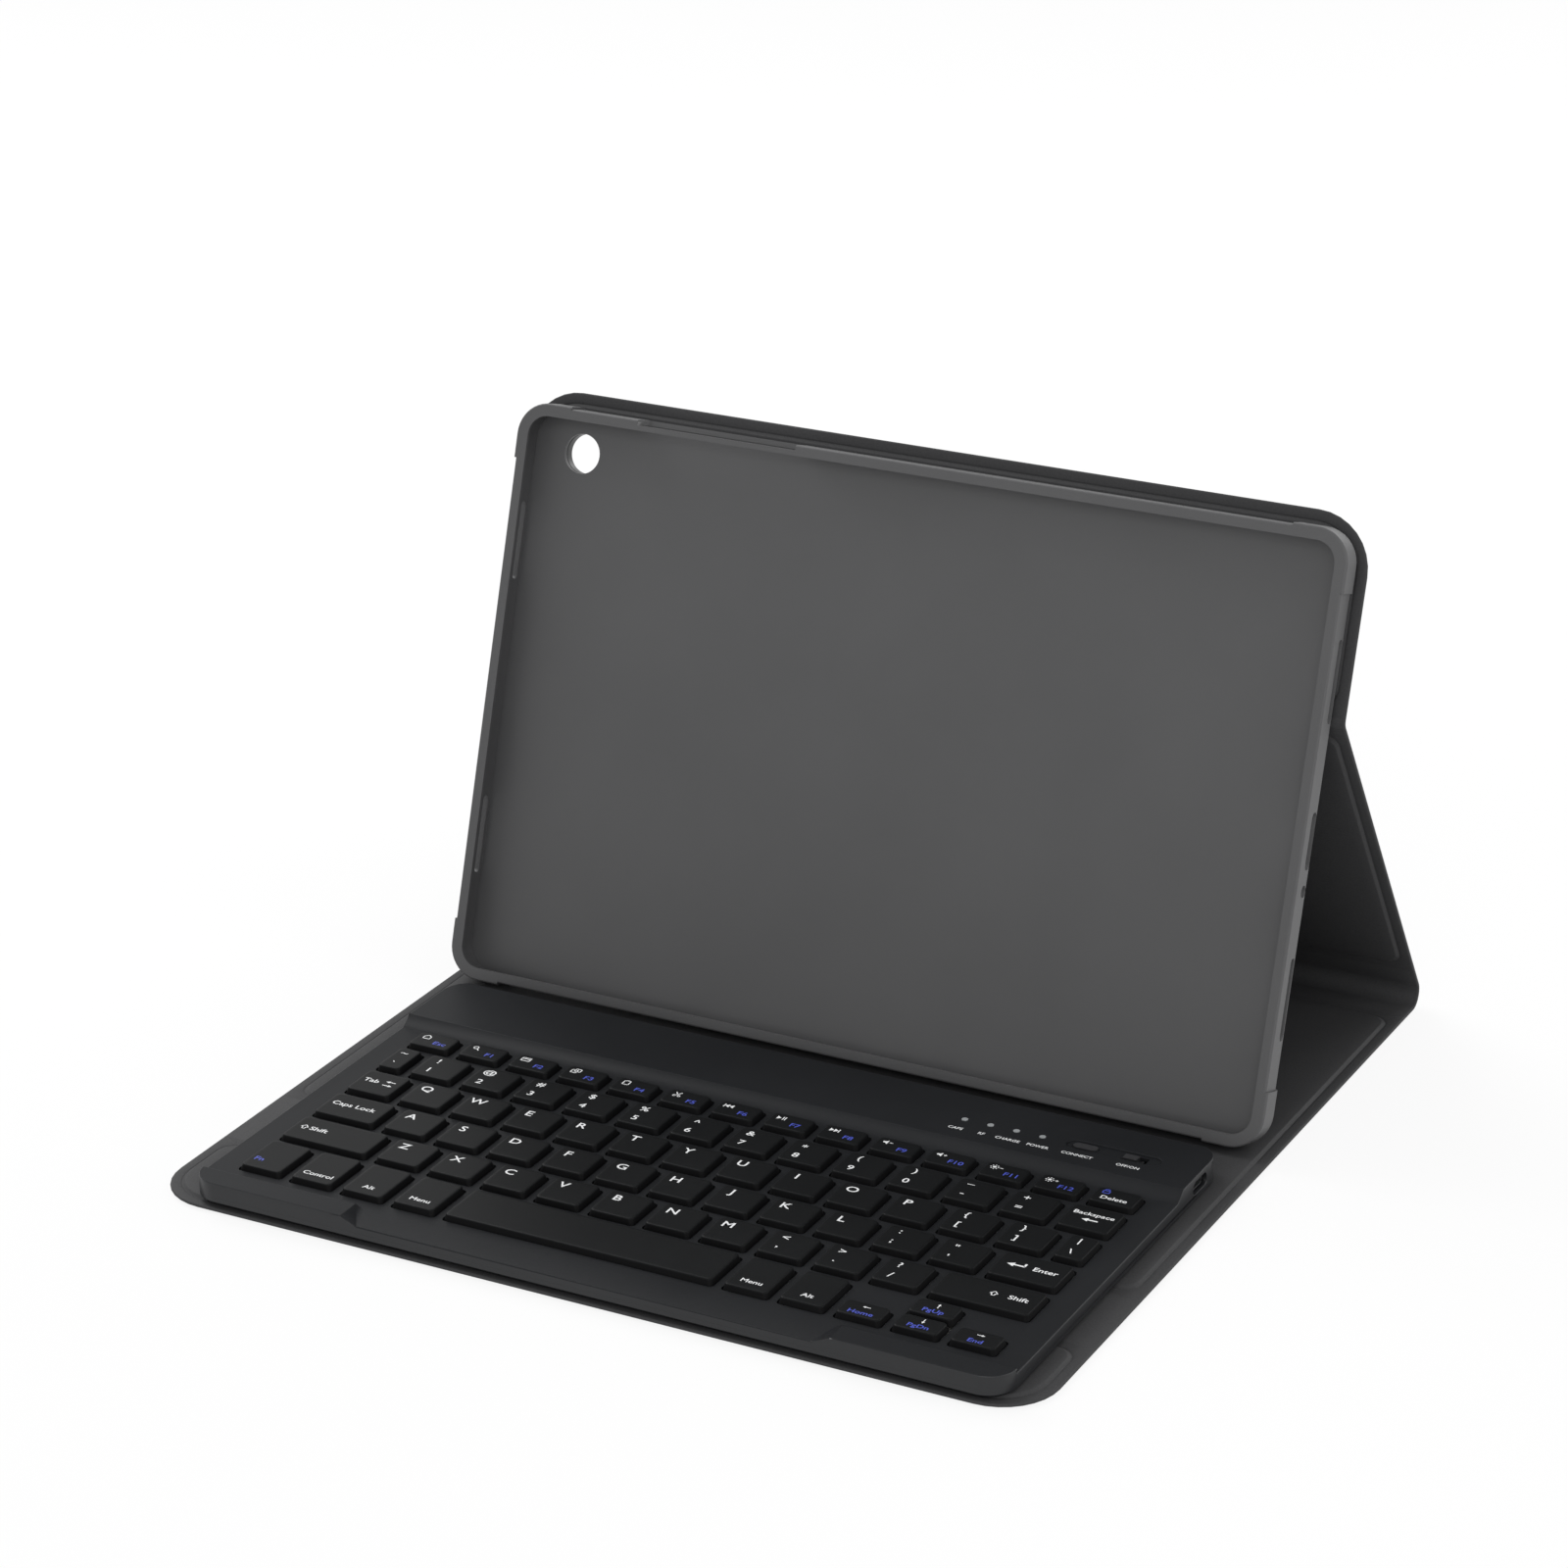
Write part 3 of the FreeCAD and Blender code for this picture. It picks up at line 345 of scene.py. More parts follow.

# Closure flap: a soft strip and a stiffened end with two round corners, joined by creases. The keyboard lies
# on the flap here.
STRIP_STEPS = 8
strip_front = flap_front + FLAP_PANEL + CREASE
cover_panel("flap", FLAP_PANEL, 0.0, (flap_front, HALF_PANEL), "flap_end", (COVER_CORNER, 0.0), (True, False))


def level_strip(name, y0, y1, node):
    """A flat soft strip at the cover's middle layer."""
    along = np.linspace(y0, y1, STRIP_STEPS + 1)
    path = np.stack([along, np.full(len(along), HALF_PANEL)], -1)
    return soft_piece(name, path, np.tile([0.0, 1.0], (len(along), 1)), node)


strip = level_strip("flap_strip_leather", strip_front, strip_front + FLAP_STRIP, "flap_strip")
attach(strip, "flap_strip")
tip_crease = level_strip("flap_tip_crease_leather", flap_front + FLAP_PANEL, strip_front, "flap_tip_crease")
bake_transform(tip_crease)
base_crease = level_strip("flap_base_crease_leather", strip_front + FLAP_STRIP, base_start,
                          "flap_base_crease")
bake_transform(base_crease)

# Inside the cover: pressed grey board in each panel, nickel-plated bar magnets let into the boards, and the
# adhesive sheet that holds the tray.


def paint(material, *names):
    """Gives CAD nodes their finish."""
    for name in names:
        slots = nodes[name].data.materials
        slots.clear()
        slots.append(material)


# Grey board is dull and fibrous, nickel plate is bright with faint tumbling marks, and the adhesive is milky.
grey_board = grained("pressed grey board", "#8c877c", "#9a958a", 0.85, 0.5, 0.06)
nickel = grained("nickel plated magnet", "#a9a9a6", "#b9b9b6", 0.28, 0.4, 0.004, Metallic=1.0)
adhesive = grained("acrylic adhesive sheet", "#c9c3b2", "#d3cdbd", 0.4, 1.0, 0.02)
paint(grey_board, "base_board", "stand_board", "back_board", "flap_board")
paint(nickel, "base_magnets", "back_magnets", "flap_magnets", "keyboard_magnets")
paint(adhesive, "tray_bond")

# Tray: a shallow moulded shell with a thin lip that grips what lies in it. Its corners have bumpers, and its
# sides have slots for speakers, socket, microphone and buttons.
SHARP = math.radians(35)
FLUSH = math.radians(0.5)
LEVEL = 0.02
UPRIGHT = 0.5
SIDE_REACH = 3.0


def softened(name, node, width_mm, material, body, side=None, edge_reach=None):
    """A copy of a CAD node with its outward edges broken: doubles merged, flush faces joined, then bevelled.
    With an edge reach, only upper faces are joined, and only edges round them are broken: those on the
    topmost face and those near the sides of the node's box, but along the front only level ones. The other
    sharp edges stay sharp. A side finish goes on the upright faces close to those sides."""
    low, high = (np.array(corner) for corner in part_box(node))
    shape = bmesh.new()
    shape.from_mesh(nodes[node].data)
    bmesh.ops.remove_doubles(shape, verts=shape.verts, dist=SAME_POINT * MM)
    if edge_reach is None:
        bmesh.ops.dissolve_limit(shape, angle_limit=FLUSH, verts=shape.verts, edges=shape.edges)
    else:
        flat = [edge for edge in shape.edges
                if all(abs(face.normal[2]) > UPRIGHT for face in edge.link_faces)]
        bmesh.ops.dissolve_limit(shape, angle_limit=FLUSH, verts=[], edges=flat)
    weight = shape.edges.layers.float.new("bevel_weight_edge")
    for edge in shape.edges:
        if not edge.is_manifold or edge.calc_face_angle() < SHARP:
            continue
        chosen = edge.is_convex
        if edge_reach is not None:
            ends = np.array([vert.co for vert in edge.verts])
            inset = np.minimum(ends.mean(0) - low, high - ends.mean(0))[:2]
            level = abs(ends[1, 2] - ends[0, 2]) < LEVEL * MM
            topmost = ends[:, 2].min() > high[2] - LEVEL * MM
            upper = any(face.normal[2] > UPRIGHT for face in edge.link_faces)
            near = inset.min() < edge_reach * MM and (level or inset[1] > edge_reach * MM)
            chosen = chosen and upper and (topmost or near)
        edge[weight] = float(chosen)
        edge.smooth = chosen
    mesh = bpy.data.meshes.new(name)
    shape.to_mesh(mesh)
    shape.free()
    mesh.materials.clear()
    mesh.materials.append(material)
    mesh.polygons.foreach_set("use_smooth", np.ones(len(mesh.polygons), bool))
    if side:
        centre = np.array([face.center[:2] for face in mesh.polygons])
        upright = np.array([abs(face.normal[2]) < UPRIGHT for face in mesh.polygons])
        near = np.minimum(centre - low[:2], high[:2] - centre).min(1) < SIDE_REACH * MM
        mesh.materials.append(side)
        mesh.polygons.foreach_set("material_index", (upright & near).astype(int))
    piece = bpy.data.objects.new(name, mesh)
    bpy.context.scene.collection.objects.link(piece)
    broken = piece.modifiers.new("broken edges", "BEVEL")
    broken.width = width_mm * MM
    broken.segments = 2
    broken.limit_method = "WEIGHT"
    broken.use_clamp_overlap = edge_reach is None
    even = piece.modifiers.new("even shading", "WEIGHTED_NORMAL")
    even.keep_sharp = True
    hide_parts(node)
    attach(piece, body)


# Polycarbonate from a spark-eroded mould: an even, fine matte grain that spreads highlights wide.
tray_plastic = grained("moulded polycarbonate, fine spark finish", "#4b4b4c", "#4f4f50", 0.5, 0.5, 0.02,
                       Specular_IOR_Level=0.4)
softened("tray_moulding", "tray_shell", 0.2, tray_plastic, "back")

# Camera ring: a moulded ring pressed into the hole in the upper back panel, with a flange on the outside.
# Its nylon is satin black, glossier than the tray.
ring_plastic = grained("satin black moulding", "#1b1b1c", "#222223", 0.35, 0.5, 0.01)
softened("camera_surround", "camera_ring", 0.3, ring_plastic, "back")

# Keyboard, bottom case: a thin moulded pan with recesses for rubber feet and for the screws that hold the
# deck. The feet are dull rubber, and the screws are bright zinc plate.
# The case's ABS is near black. Its grained faces are dull even at grazing angles; its sides come from a
# smoother part of the mould and catch more light.
case_plastic = grained("moulded ABS, matte", "#1a1b1d", "#1f2022", 0.42, 0.45, 0.02,
                       Specular_IOR_Level=0.07)
case_side = grained("moulded ABS, satin side", "#1a1b1d", "#1f2022", 0.36, 0.45, 0.01,
                    Specular_IOR_Level=0.36)
foot_rubber = grained("moulded rubber", "#1a1a1a", "#202020", 0.8, 0.6, 0.03)
zinc = grained("zinc plated steel", "#8d8f90", "#a0a2a3", 0.3, 0.3, 0.004, Metallic=1.0)
softened("bottom_case_moulding", "bottom_case", 0.25, case_plastic, "keyboard", case_side)
paint(foot_rubber, "rubber_feet")
paint(zinc, "case_screws", "key_plate", "radio_shield", "charging_socket")

# Inside the keyboard: the printed contact film, and the electronics in the rear bar.
# Polyester film is glossy and clouded, lacquer is glossy green, the battery's pouch is dull foil with soft
# crinkles, polyimide is amber, and the light pipes are clear and wet-looking.
contact_film = grained("printed polyester film", "#b9bdb8", "#c8ccc6", 0.3, 2.0, 0.01)
lacquer = grained("green solder lacquer", "#1c5a35", "#236b40", 0.3, 0.5, 0.01)
pouch = grained("aluminium laminate pouch", "#b0b1b3", "#bfc0c2", 0.35, 3.0, 0.05, Metallic=0.8)
amber_film = grained("polyimide film", "#b06a1e", "#bd7727", 0.3, 1.0, 0.01)
switch_moulding = grained("moulded nylon", "#202022", "#29292b", 0.4, 0.4, 0.01)
lens = grained("clear acrylic light pipe", "#8d9092", "#9a9d9f", 0.15, 0.5, 0.005)
paint(contact_film, "contact_membrane")
paint(lacquer, "main_board")
paint(pouch, "battery")
paint(amber_film, "battery_flex")
paint(switch_moulding, "slide_switch", "tact_switch", "connect_button", "switch_slider")
paint(lens, "indicator_lenses")

# Deck: the moulded top of the keyboard, with the key openings, the raised rear bar and two ridges in front.
# Its edges are broken round the bar and as far in from the sides as the ridges reach.
RIDGE_REACH = 7.7
softened("deck_moulding", "deck", 0.35, case_plastic, "keyboard", case_side, RIDGE_REACH)

# Keys: moulded ABS caps on scissor links. Each stands in the middle of its cell, with sides that draw in and
# a small radius round its flat top. In most rows one key is as wide as the others leave.
KEYBOARD_X = 2.4
KEYBOARD_Y = 0.6
KEYBOARD_Z = 2.5
FIELD_FRONT = 10.7
KEY_PITCH = 16.15
ROW_PITCH = 16.1
FUNCTION_ROW = 11.6
SPACE_ROW = 19.4
KEY_GAP = 3.8
PAIR_GAP = 1.8
KEY_TAPER = 0.5
KEY_CORNER = 1.2
KEY_SEAT = 4.4
KEY_TOP = 6.4
KEY_ROUND = 0.35
CROWN_START = 0.3
CROWN_STEPS = 3
TOP_INSET = 2.5
CORNER_SHRINK = 0.6
KEY_SHARP = 50.0
GRAVE_CELL = 10.3
BACKSPACE_CELL = 17.6
TAB_CELL = 16.7
CAPS_CELL = 21.8
SHIFT_CELL = 29.6
MODIFIER_CELL = 15.6
CROWN, SKIRT = 0, 1
field_width = GRAVE_CELL + 12 * KEY_PITCH + BACKSPACE_CELL
# The keys' ABS is blacker than the case. Its crowns have the same fine matte grain; the skirts are dull and
# painted darker than the crowns, as painted shade on the keys' sides, so each key has a black outline.
key_plastic = grained("moulded ABS key, fine spark finish", "#0d0e0f", "#111213", 0.42, 0.4, 0.015,
                      Specular_IOR_Level=0.07)
# Painted shade: the skirt colour is darker than the crown's, standing in for the shade on each key's sides.
key_skirt_painted_shade = grained("moulded ABS key, skirt with painted shade", "#050506", "#070708", 0.6, 0.4, 0.015,
                    Specular_IOR_Level=0.1)
letters = "QWERTYUIOP", "ASDFGHJKL", "ZXCVBNM"
function_row = [("function_keys", field_width / 14, mark) for mark in
                ("Esc", "F1", "F2", "F3", "F4", "F5", "F6", "F7", "F8", "F9", "F10", "F11", "F12", "Delete")]
number_row = [("number_keys", GRAVE_CELL, "~`")]
number_row += [("number_keys", KEY_PITCH, pair) for pair in
               ("!1", "@2", "#3", "$4", "%5", "^6", "&7", "*8", "(9", ")0", "_-", "+=")]
upper_row = [("tab_key", TAB_CELL, "Tab")] + [("upper_letter_keys", KEY_PITCH, c) for c in letters[0]]
upper_row += [("upper_letter_keys", KEY_PITCH, pair) for pair in ("{[", "}]")]
home_row = [("caps_lock_key", CAPS_CELL, "Caps Lock")]
home_row += [("home_letter_keys", KEY_PITCH, c) for c in letters[1]]
home_row += [("home_letter_keys", KEY_PITCH, pair) for pair in (":;", "\"'")]
lower_row = [("left_shift_key", SHIFT_CELL, "Shift left")]
lower_row += [("lower_letter_keys", KEY_PITCH, c) for c in letters[2]]
lower_row += [("lower_letter_keys", KEY_PITCH, pair) for pair in ("<,", ">.", "?/")]
space_row = [("modifier_keys", MODIFIER_CELL, word) for word in ("Fn", "Control", "Alt", "Menu")]
space_tail = [("modifier_keys", MODIFIER_CELL, word) for word in ("Menu", "Alt")]
space_tail += [(node, MODIFIER_CELL, node) for node in ("left_arrow_key", "arrow_pair", "right_arrow_key")]


def filled(cells, node, mark, tail=()):
    """A row with one more cell, as wide as the others leave."""
    rest = field_width - sum(width for _, width, _ in cells) - sum(width for _, width, _ in tail)
    return cells + [(node, rest, mark)] + list(tail)


rows = [(SPACE_ROW, filled(space_row, "space_bar", "", space_tail)),
        (ROW_PITCH, filled(lower_row, "right_shift_key", "Shift right")),
        (ROW_PITCH, filled(home_row, "enter_key", "Enter")),
        (ROW_PITCH, filled(upper_row, "upper_letter_keys", "|\\")),
        (ROW_PITCH, filled(number_row, "backspace_key", "Backspace")),
        (FUNCTION_ROW, function_row)]
keys = []
row_front = FIELD_FRONT
for row_depth, cells in rows:
    left = -field_width / 2
    for node, width, mark in cells:
        top = [left + KEY_GAP / 2, left + width - KEY_GAP / 2,
               row_front + KEY_GAP / 2, row_front + row_depth - KEY_GAP / 2]
        half_key = (top[3] - top[2] - PAIR_GAP) / 2
        if node == "arrow_pair":
            keys.append(("down_arrow_key", "down_arrow_key", top[:3] + [top[2] + half_key]))
            keys.append(("up_arrow_key", "up_arrow_key", top[:2] + [top[3] - half_key, top[3]]))
        elif "arrow" in node:
            keys.append((node, mark, top[:3] + [top[2] + half_key]))
        else:
            keys.append((node, mark, top))
        left += width
    row_front += row_depth
key_nodes = sorted({node for node, _, _ in keys})
keyboard_origin = np.array([KEYBOARD_X, flap_front + KEYBOARD_Y, KEYBOARD_Z])


def keycap_points(x0, x1, y0, y1):
    """Rings from the skirt up: a straight draw-in to the crown's radius, a quarter circle, then the flat
    top. The crown's start and the top's inset are given in crown radii."""
    lift = KEY_TOP - KEY_SEAT - KEY_ROUND
    arc = np.linspace(0, math.pi / 2, CROWN_STEPS + 1)
    crown = KEY_ROUND * CROWN_START - KEY_ROUND * (1 - np.cos(arc))
    spread = [KEY_TAPER] + list(crown) + [-TOP_INSET * KEY_ROUND]
    height = [KEY_SEAT] + list(KEY_SEAT + lift + KEY_ROUND * np.sin(arc)) + [KEY_TOP]
    rings = []
    for grow, z in zip(spread, height):
        corner = KEY_CORNER + min(grow, 0.0) * CORNER_SHRINK
        ring = rounded_ring(x0 - grow, x1 + grow, y0 - grow, y1 + grow, corner, corner, steps=4)
        rings.append(np.column_stack([ring, np.full(len(ring), z)]))
    return np.array(rings) + keyboard_origin


for node in key_nodes:
    points = []
    faces = []
    finish = []
    count = 0
    for owner, _, top in keys:
        if owner == node:
            rings = keycap_points(*top)
            shell = ring_faces(*rings.shape[:2])
            faces += [[i + count for i in face] for face in shell]
            finish += [SKIRT] * rings.shape[1] + [CROWN] * (len(shell) - rings.shape[1])
            points.append(rings.reshape(-1, 3))
            count += points[-1].shape[0]
    caps = add_piece(node + "_cap", np.concatenate(points), faces, key_plastic, KEY_SHARP)
    # The second slot holds the skirts' painted shade.
    caps.data.materials.append(key_skirt_painted_shade)
    caps.data.polygons.foreach_set("material_index", finish)
    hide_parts(node)
    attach(caps, node)

# Domes and links: a silicone dome and a pair of acetal links under each key, which fold on the real keyboard
# as their key goes down. Each set of keys has its own copy, built in place.
# Silicone is milky and soft-edged, acetal is waxy and off-white.
silicone = grained("moulded silicone", "#c3c3c0", "#cecec9", 0.5, 0.8, 0.02)
acetal = grained("moulded acetal", "#d8d7d0", "#e0dfd8", 0.45, 0.5, 0.01)


def under_keys(node, material):
    """Copies a CAD node in sets, one for each key body: a face belongs to the key whose top it lies under."""
    mesh = nodes[node].data
    points = np.empty(len(mesh.vertices) * 3)
    mesh.vertices.foreach_get("co", points)
    points = points.reshape(-1, 3) / MM
    corners = np.empty(len(mesh.loops), int)
    mesh.loops.foreach_get("vertex_index", corners)
    faces = corners.reshape(-1, 3)
    middle = points[faces].mean(1) - keyboard_origin
    for body in key_nodes:
        mine = np.zeros(len(faces), bool)
        for owner, _, (x0, x1, y0, y1) in keys:
            if owner == body:
                mine |= (middle[:, 0] > x0) & (middle[:, 0] < x1) & (middle[:, 1] > y0) & (middle[:, 1] < y1)
        used, renumbered = np.unique(faces[mine], return_inverse=True)
        piece = add_piece(body + "_" + node, points[used], renumbered.reshape(-1, 3).tolist(), material)
        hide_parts(node)
        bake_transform(piece)


under_keys("rubber_domes", silicone)
under_keys("scissor_links", acetal)

# Legends: printed on the keys and on the rear bar in white, with the second functions in blue. Letters come
# from the built-in typeface; signs are drawn from strokes and outlines, in units of their own height.
INK_LIFT = 0.02
CAP_SHARE = 0.7
TYPE_WEIGHT = 0.012
TYPE_WIDTH = 1.15
# Screen-printing ink lies flat and slightly glossy on the matte plastic.
white_ink = grained("white printing ink", "#e4e5e6", "#eeeff0", 0.5, 0.3, 0.004)
blue_ink = grained("blue printing ink", "#3a48b4", "#4452bd", 0.5, 0.3, 0.004)
written = {}


def word_shape(text):
    """Flat mesh of a word, one unit of type high, centred on its own box: its points and faces."""
    if text not in written:
        curve = bpy.data.curves.new("word", "FONT")
        curve.body = text
        curve.resolution_u = 3
        curve.offset = TYPE_WEIGHT
        holder = bpy.data.objects.new("word", curve)
        bpy.context.scene.collection.objects.link(holder)
        bpy.context.view_layer.update()
        mesh = bpy.data.meshes.new_from_object(holder.evaluated_get(bpy.context.evaluated_depsgraph_get()))
        points = np.empty(len(mesh.vertices) * 3)
        mesh.vertices.foreach_get("co", points)
        points = points.reshape(-1, 3)
        points = (points - (points.min(0) + points.max(0)) / 2) * [TYPE_WIDTH, 1, 0]
        written[text] = points, [list(face.vertices) for face in mesh.polygons]
        bpy.data.objects.remove(holder)
        bpy.data.meshes.remove(mesh)
        bpy.data.curves.remove(curve)
    return written[text]


def arrow_shape(way):
    """Flat arrow pointing along one of four ways: a shaft and a head."""
    points = np.array([[-0.5, -0.06], [0.1, -0.06], [0.1, -0.2], [0.5, 0],
                       [0.1, 0.2], [0.1, 0.06], [-0.5, 0.06]])
    turn = {"right": 0.0, "up": 0.5, "left": 1.0, "down": 1.5}[way] * math.pi
    x, y = points.T
    spun = np.stack([x * math.cos(turn) - y * math.sin(turn), x * math.sin(turn) + y * math.cos(turn),
                     np.zeros(len(points))], -1)
    return spun, [[0, 1, 5, 6], [2, 3, 4]]


def polygon_shape(*outlines):
    """Flat shape from convex outlines given in units of the symbol's height."""
    points = np.concatenate([np.asarray(o, float) for o in outlines])
    starts = np.cumsum([0] + [len(o) for o in outlines])
    faces = [list(range(starts[i], starts[i + 1])) for i in range(len(outlines))]
    return np.column_stack([points, np.zeros(len(points))]), faces


def bar_outline(x0, y0, x1, y1, width=0.12):
    """Outline of a straight stroke between two points."""
    way = np.array([x1 - x0, y1 - y0])
    side = np.array([-way[1], way[0]]) / np.hypot(*way) * width / 2
    return [(x0 - side[0], y0 - side[1]), (x1 - side[0], y1 - side[1]),
            (x1 + side[0], y1 + side[1]), (x0 + side[0], y0 + side[1])]


def loop_outlines(points):
    """Strokes round a closed outline."""
    return [bar_outline(*points[i], *points[(i + 1) % len(points)]) for i in range(len(points))]


def circle(cx, cy, r, count=10):
    """Points round a circle."""
    angle = np.arange(count) * 2 * math.pi / count
    return list(zip(cx + r * np.cos(angle), cy + r * np.sin(angle)))


def triangle(x, way):
    """Filled triangle that points left or right from x."""
    points = [(x, -0.35), (x + 0.5 * way, 0.0), (x, 0.35)]
    return points if way > 0 else points[::-1]


speaker = [(-0.5, -0.15), (-0.25, -0.15), (0.05, -0.4), (0.05, 0.4), (-0.25, 0.15), (-0.5, 0.15)]
minus = bar_outline(0.25, 0.0, 0.6, 0.0)
plus = bar_outline(0.425, -0.175, 0.425, 0.175)
rays = [bar_outline(0.32 * math.cos(a) - 0.15, 0.32 * math.sin(a),
                    0.48 * math.cos(a) - 0.15, 0.48 * math.sin(a)) for a in np.arange(8) * math.pi / 4]
sun = [circle(-0.15, 0.0, 0.2)] + rays
sun_minus = [(x + 0.2, y) for x, y in minus]
sun_plus = [(x + 0.2, y) for x, y in plus]
shift_mark = loop_outlines([(-0.2, -0.45), (0.2, -0.45), (0.2, -0.05), (0.5, -0.05), (0.0, 0.5),
                            (-0.5, -0.05), (-0.2, -0.05)])
enter_hook = bar_outline(0.47, 0.0, 0.47, 0.3)
symbols = {
    "Esc": loop_outlines([(-0.4, -0.4), (0.4, -0.4), (0.4, 0.1), (0.0, 0.45), (-0.4, 0.1)]),
    "F1": loop_outlines(circle(-0.1, 0.1, 0.28, 8)) + [bar_outline(0.12, -0.12, 0.42, -0.42)],
    "F2": loop_outlines([(-0.5, -0.35), (0.5, -0.35), (0.5, 0.35), (-0.5, 0.35)])
    + [bar_outline(-0.5, 0.1, 0.5, 0.1)],
    "F3": loop_outlines([(-0.5, -0.45), (0.15, -0.45), (0.15, 0.2), (-0.5, 0.2)])
    + loop_outlines([(-0.15, -0.15), (0.5, -0.15), (0.5, 0.45), (-0.15, 0.45)]),
    "F4": loop_outlines([(-0.35, -0.45), (0.35, -0.45), (0.35, 0.35), (-0.35, 0.35)])
    + [bar_outline(-0.18, 0.42, 0.18, 0.42, 0.18)],
    "F5": [bar_outline(-0.35, 0.45, 0.2, -0.3), bar_outline(0.35, 0.45, -0.2, -0.3)]
    + loop_outlines(circle(-0.28, -0.35, 0.15, 6)) + loop_outlines(circle(0.28, -0.35, 0.15, 6)),
    "F6": [triangle(0.0, -1), triangle(0.5, -1), bar_outline(-0.55, -0.35, -0.55, 0.35)],
    "F7": [triangle(-0.5, 1), bar_outline(0.2, -0.35, 0.2, 0.35), bar_outline(0.45, -0.35, 0.45, 0.35)],
    "F8": [triangle(-0.5, 1), triangle(0.0, 1), bar_outline(0.55, -0.35, 0.55, 0.35)],
    "F9": [speaker, minus],
    "F10": [speaker, minus, plus],
    "F11": sun + [sun_minus],
    "F12": sun + [sun_minus, sun_plus],
    "Delete": loop_outlines([(-0.35, -0.4), (0.35, -0.4), (0.35, 0.1), (-0.35, 0.1)])
    + [bar_outline(-0.22, 0.1, -0.22, 0.4), bar_outline(0.22, 0.1, 0.22, 0.4),
       bar_outline(-0.22, 0.4, 0.22, 0.4)],
}
PLAIN, SECOND = 0, 1
LETTER = 2.8
SIGN = 2.4
WORD = 1.9
SMALL = 1.7
SYMBOL = 2.6
SIDE_MARGIN = 0.9
NARROW_KEY = 8.0
HELD_LEFT, HELD_RIGHT = -1.0, 1.0
WORD_LEFT = 1.4
CAPS_LEFT = 1.6
SHIFT_MARK_LEFT = 3.0
SHIFT_LEFT = 4.8
SHIFT_RIGHT = 2.6
ENTER_RIGHT = 1.8
SHIFT_SIZE = 2.2
TAB_ARROW = 3.0
ENTER_ARROW = 5.0
BACKSPACE_ARROW = 4.5
KEY_ARROW = 2.2
MIDDLE = 0.54
FN_UP = 0.3
TAB_UP = 0.56
# Places on a key: shares of its width from the left and of its depth from the front.
places = {
    "symbol": (0.24, 0.68),
    "function": (0.68, 0.36),
    "lock": (0.22, 0.76),
    "delete": (0.5, 0.34),
    "letter": (0.28, 0.72),
    "upper sign": (0.3, 0.76),
    "lower sign": (0.3, 0.3),
    "upper sign, narrow": (0.42, 0.76),
    "lower sign, narrow": (0.42, 0.3),
    "tab back": (0.72, 0.64),
    "tab on": (0.72, 0.46),
    "shift": (0.55, MIDDLE),
    "enter": (0.27, MIDDLE),
    "backspace": (0.5, 0.66),
    "backspace arrow": (0.5, 0.42),
    "arrow": (0.52, 0.72),
    "second": (0.5, 0.28),
    "modifier": (0.5, 0.24),
}
second_words = {"left": "Home", "right": "End", "up": "PgUp", "down": "PgDn"}


def key_marks(mark, width, depth):
    """What is printed on a key: (shape, height, x, y, ink), placed from the key's front left corner."""
    def sign(shape, height, place, ink=PLAIN):
        across, up = places[place]
        return shape, height, across * width, up * depth, ink

    def held(text, height, x, y, hold, ink=PLAIN):
        points, faces = word_shape(text)
        span = np.ptp(points[:, 0])
        size = min(height / CAP_SHARE, (width - 2 * SIDE_MARGIN) / span)
        return (points - [hold * span / 2, 0, 0], faces), size, x, y, ink

    def word(text, height, place, ink=PLAIN):
        across, up = places[place]
        return held(text, height, across * width, up * depth, 0.0, ink)

    middle = MIDDLE * depth
    if mark == "Delete":
        return [sign(polygon_shape(*symbols[mark]), SYMBOL, "lock", SECOND), word(mark, SMALL, "delete")]
    if mark in symbols:
        return [sign(polygon_shape(*symbols[mark]), SYMBOL, "symbol"), word(mark, WORD, "function", SECOND)]
    if len(mark) == 1:
        return [word(mark, LETTER, "letter")]
    if mark == "Fn":
        return [held(mark, WORD, WORD_LEFT, FN_UP * depth, HELD_LEFT, SECOND)]
    if len(mark) == 2:
        narrow = "" if width > NARROW_KEY else ", narrow"
        return [word(mark[0], SIGN, "upper sign" + narrow), word(mark[1], SIGN, "lower sign" + narrow)]
    if mark == "Tab":
        return [held(mark, WORD, WORD_LEFT, TAB_UP * depth, HELD_LEFT),
                sign(arrow_shape("left"), TAB_ARROW, "tab back"),
                sign(arrow_shape("right"), TAB_ARROW, "tab on")]
    if mark == "Caps Lock":
        return [held(mark, WORD, CAPS_LEFT, middle, HELD_LEFT)]
    if mark == "Shift left":
        return [(polygon_shape(*shift_mark), SHIFT_SIZE, SHIFT_MARK_LEFT, middle, PLAIN),
                held("Shift", WORD, SHIFT_LEFT, middle, HELD_LEFT)]
    if mark == "Shift right":
        return [sign(polygon_shape(*shift_mark), SHIFT_SIZE, "shift"),
                held("Shift", WORD, width - SHIFT_RIGHT, middle, HELD_RIGHT)]
    if mark == "Enter":
        return [sign(arrow_shape("left"), ENTER_ARROW, "enter"),
                sign(polygon_shape(enter_hook), ENTER_ARROW, "enter"),
                held(mark, WORD, width - ENTER_RIGHT, middle, HELD_RIGHT)]
    if mark == "Backspace":
        return [word(mark, SMALL, "backspace"), sign(arrow_shape("left"), BACKSPACE_ARROW, "backspace arrow")]
    if "arrow" in mark:
        way = mark.split("_")[0]
        return [sign(arrow_shape(way), KEY_ARROW, "arrow"), word(second_words[way], SMALL, "second", SECOND)]
    if mark:
        return [word(mark, SMALL, "modifier")]
    return []


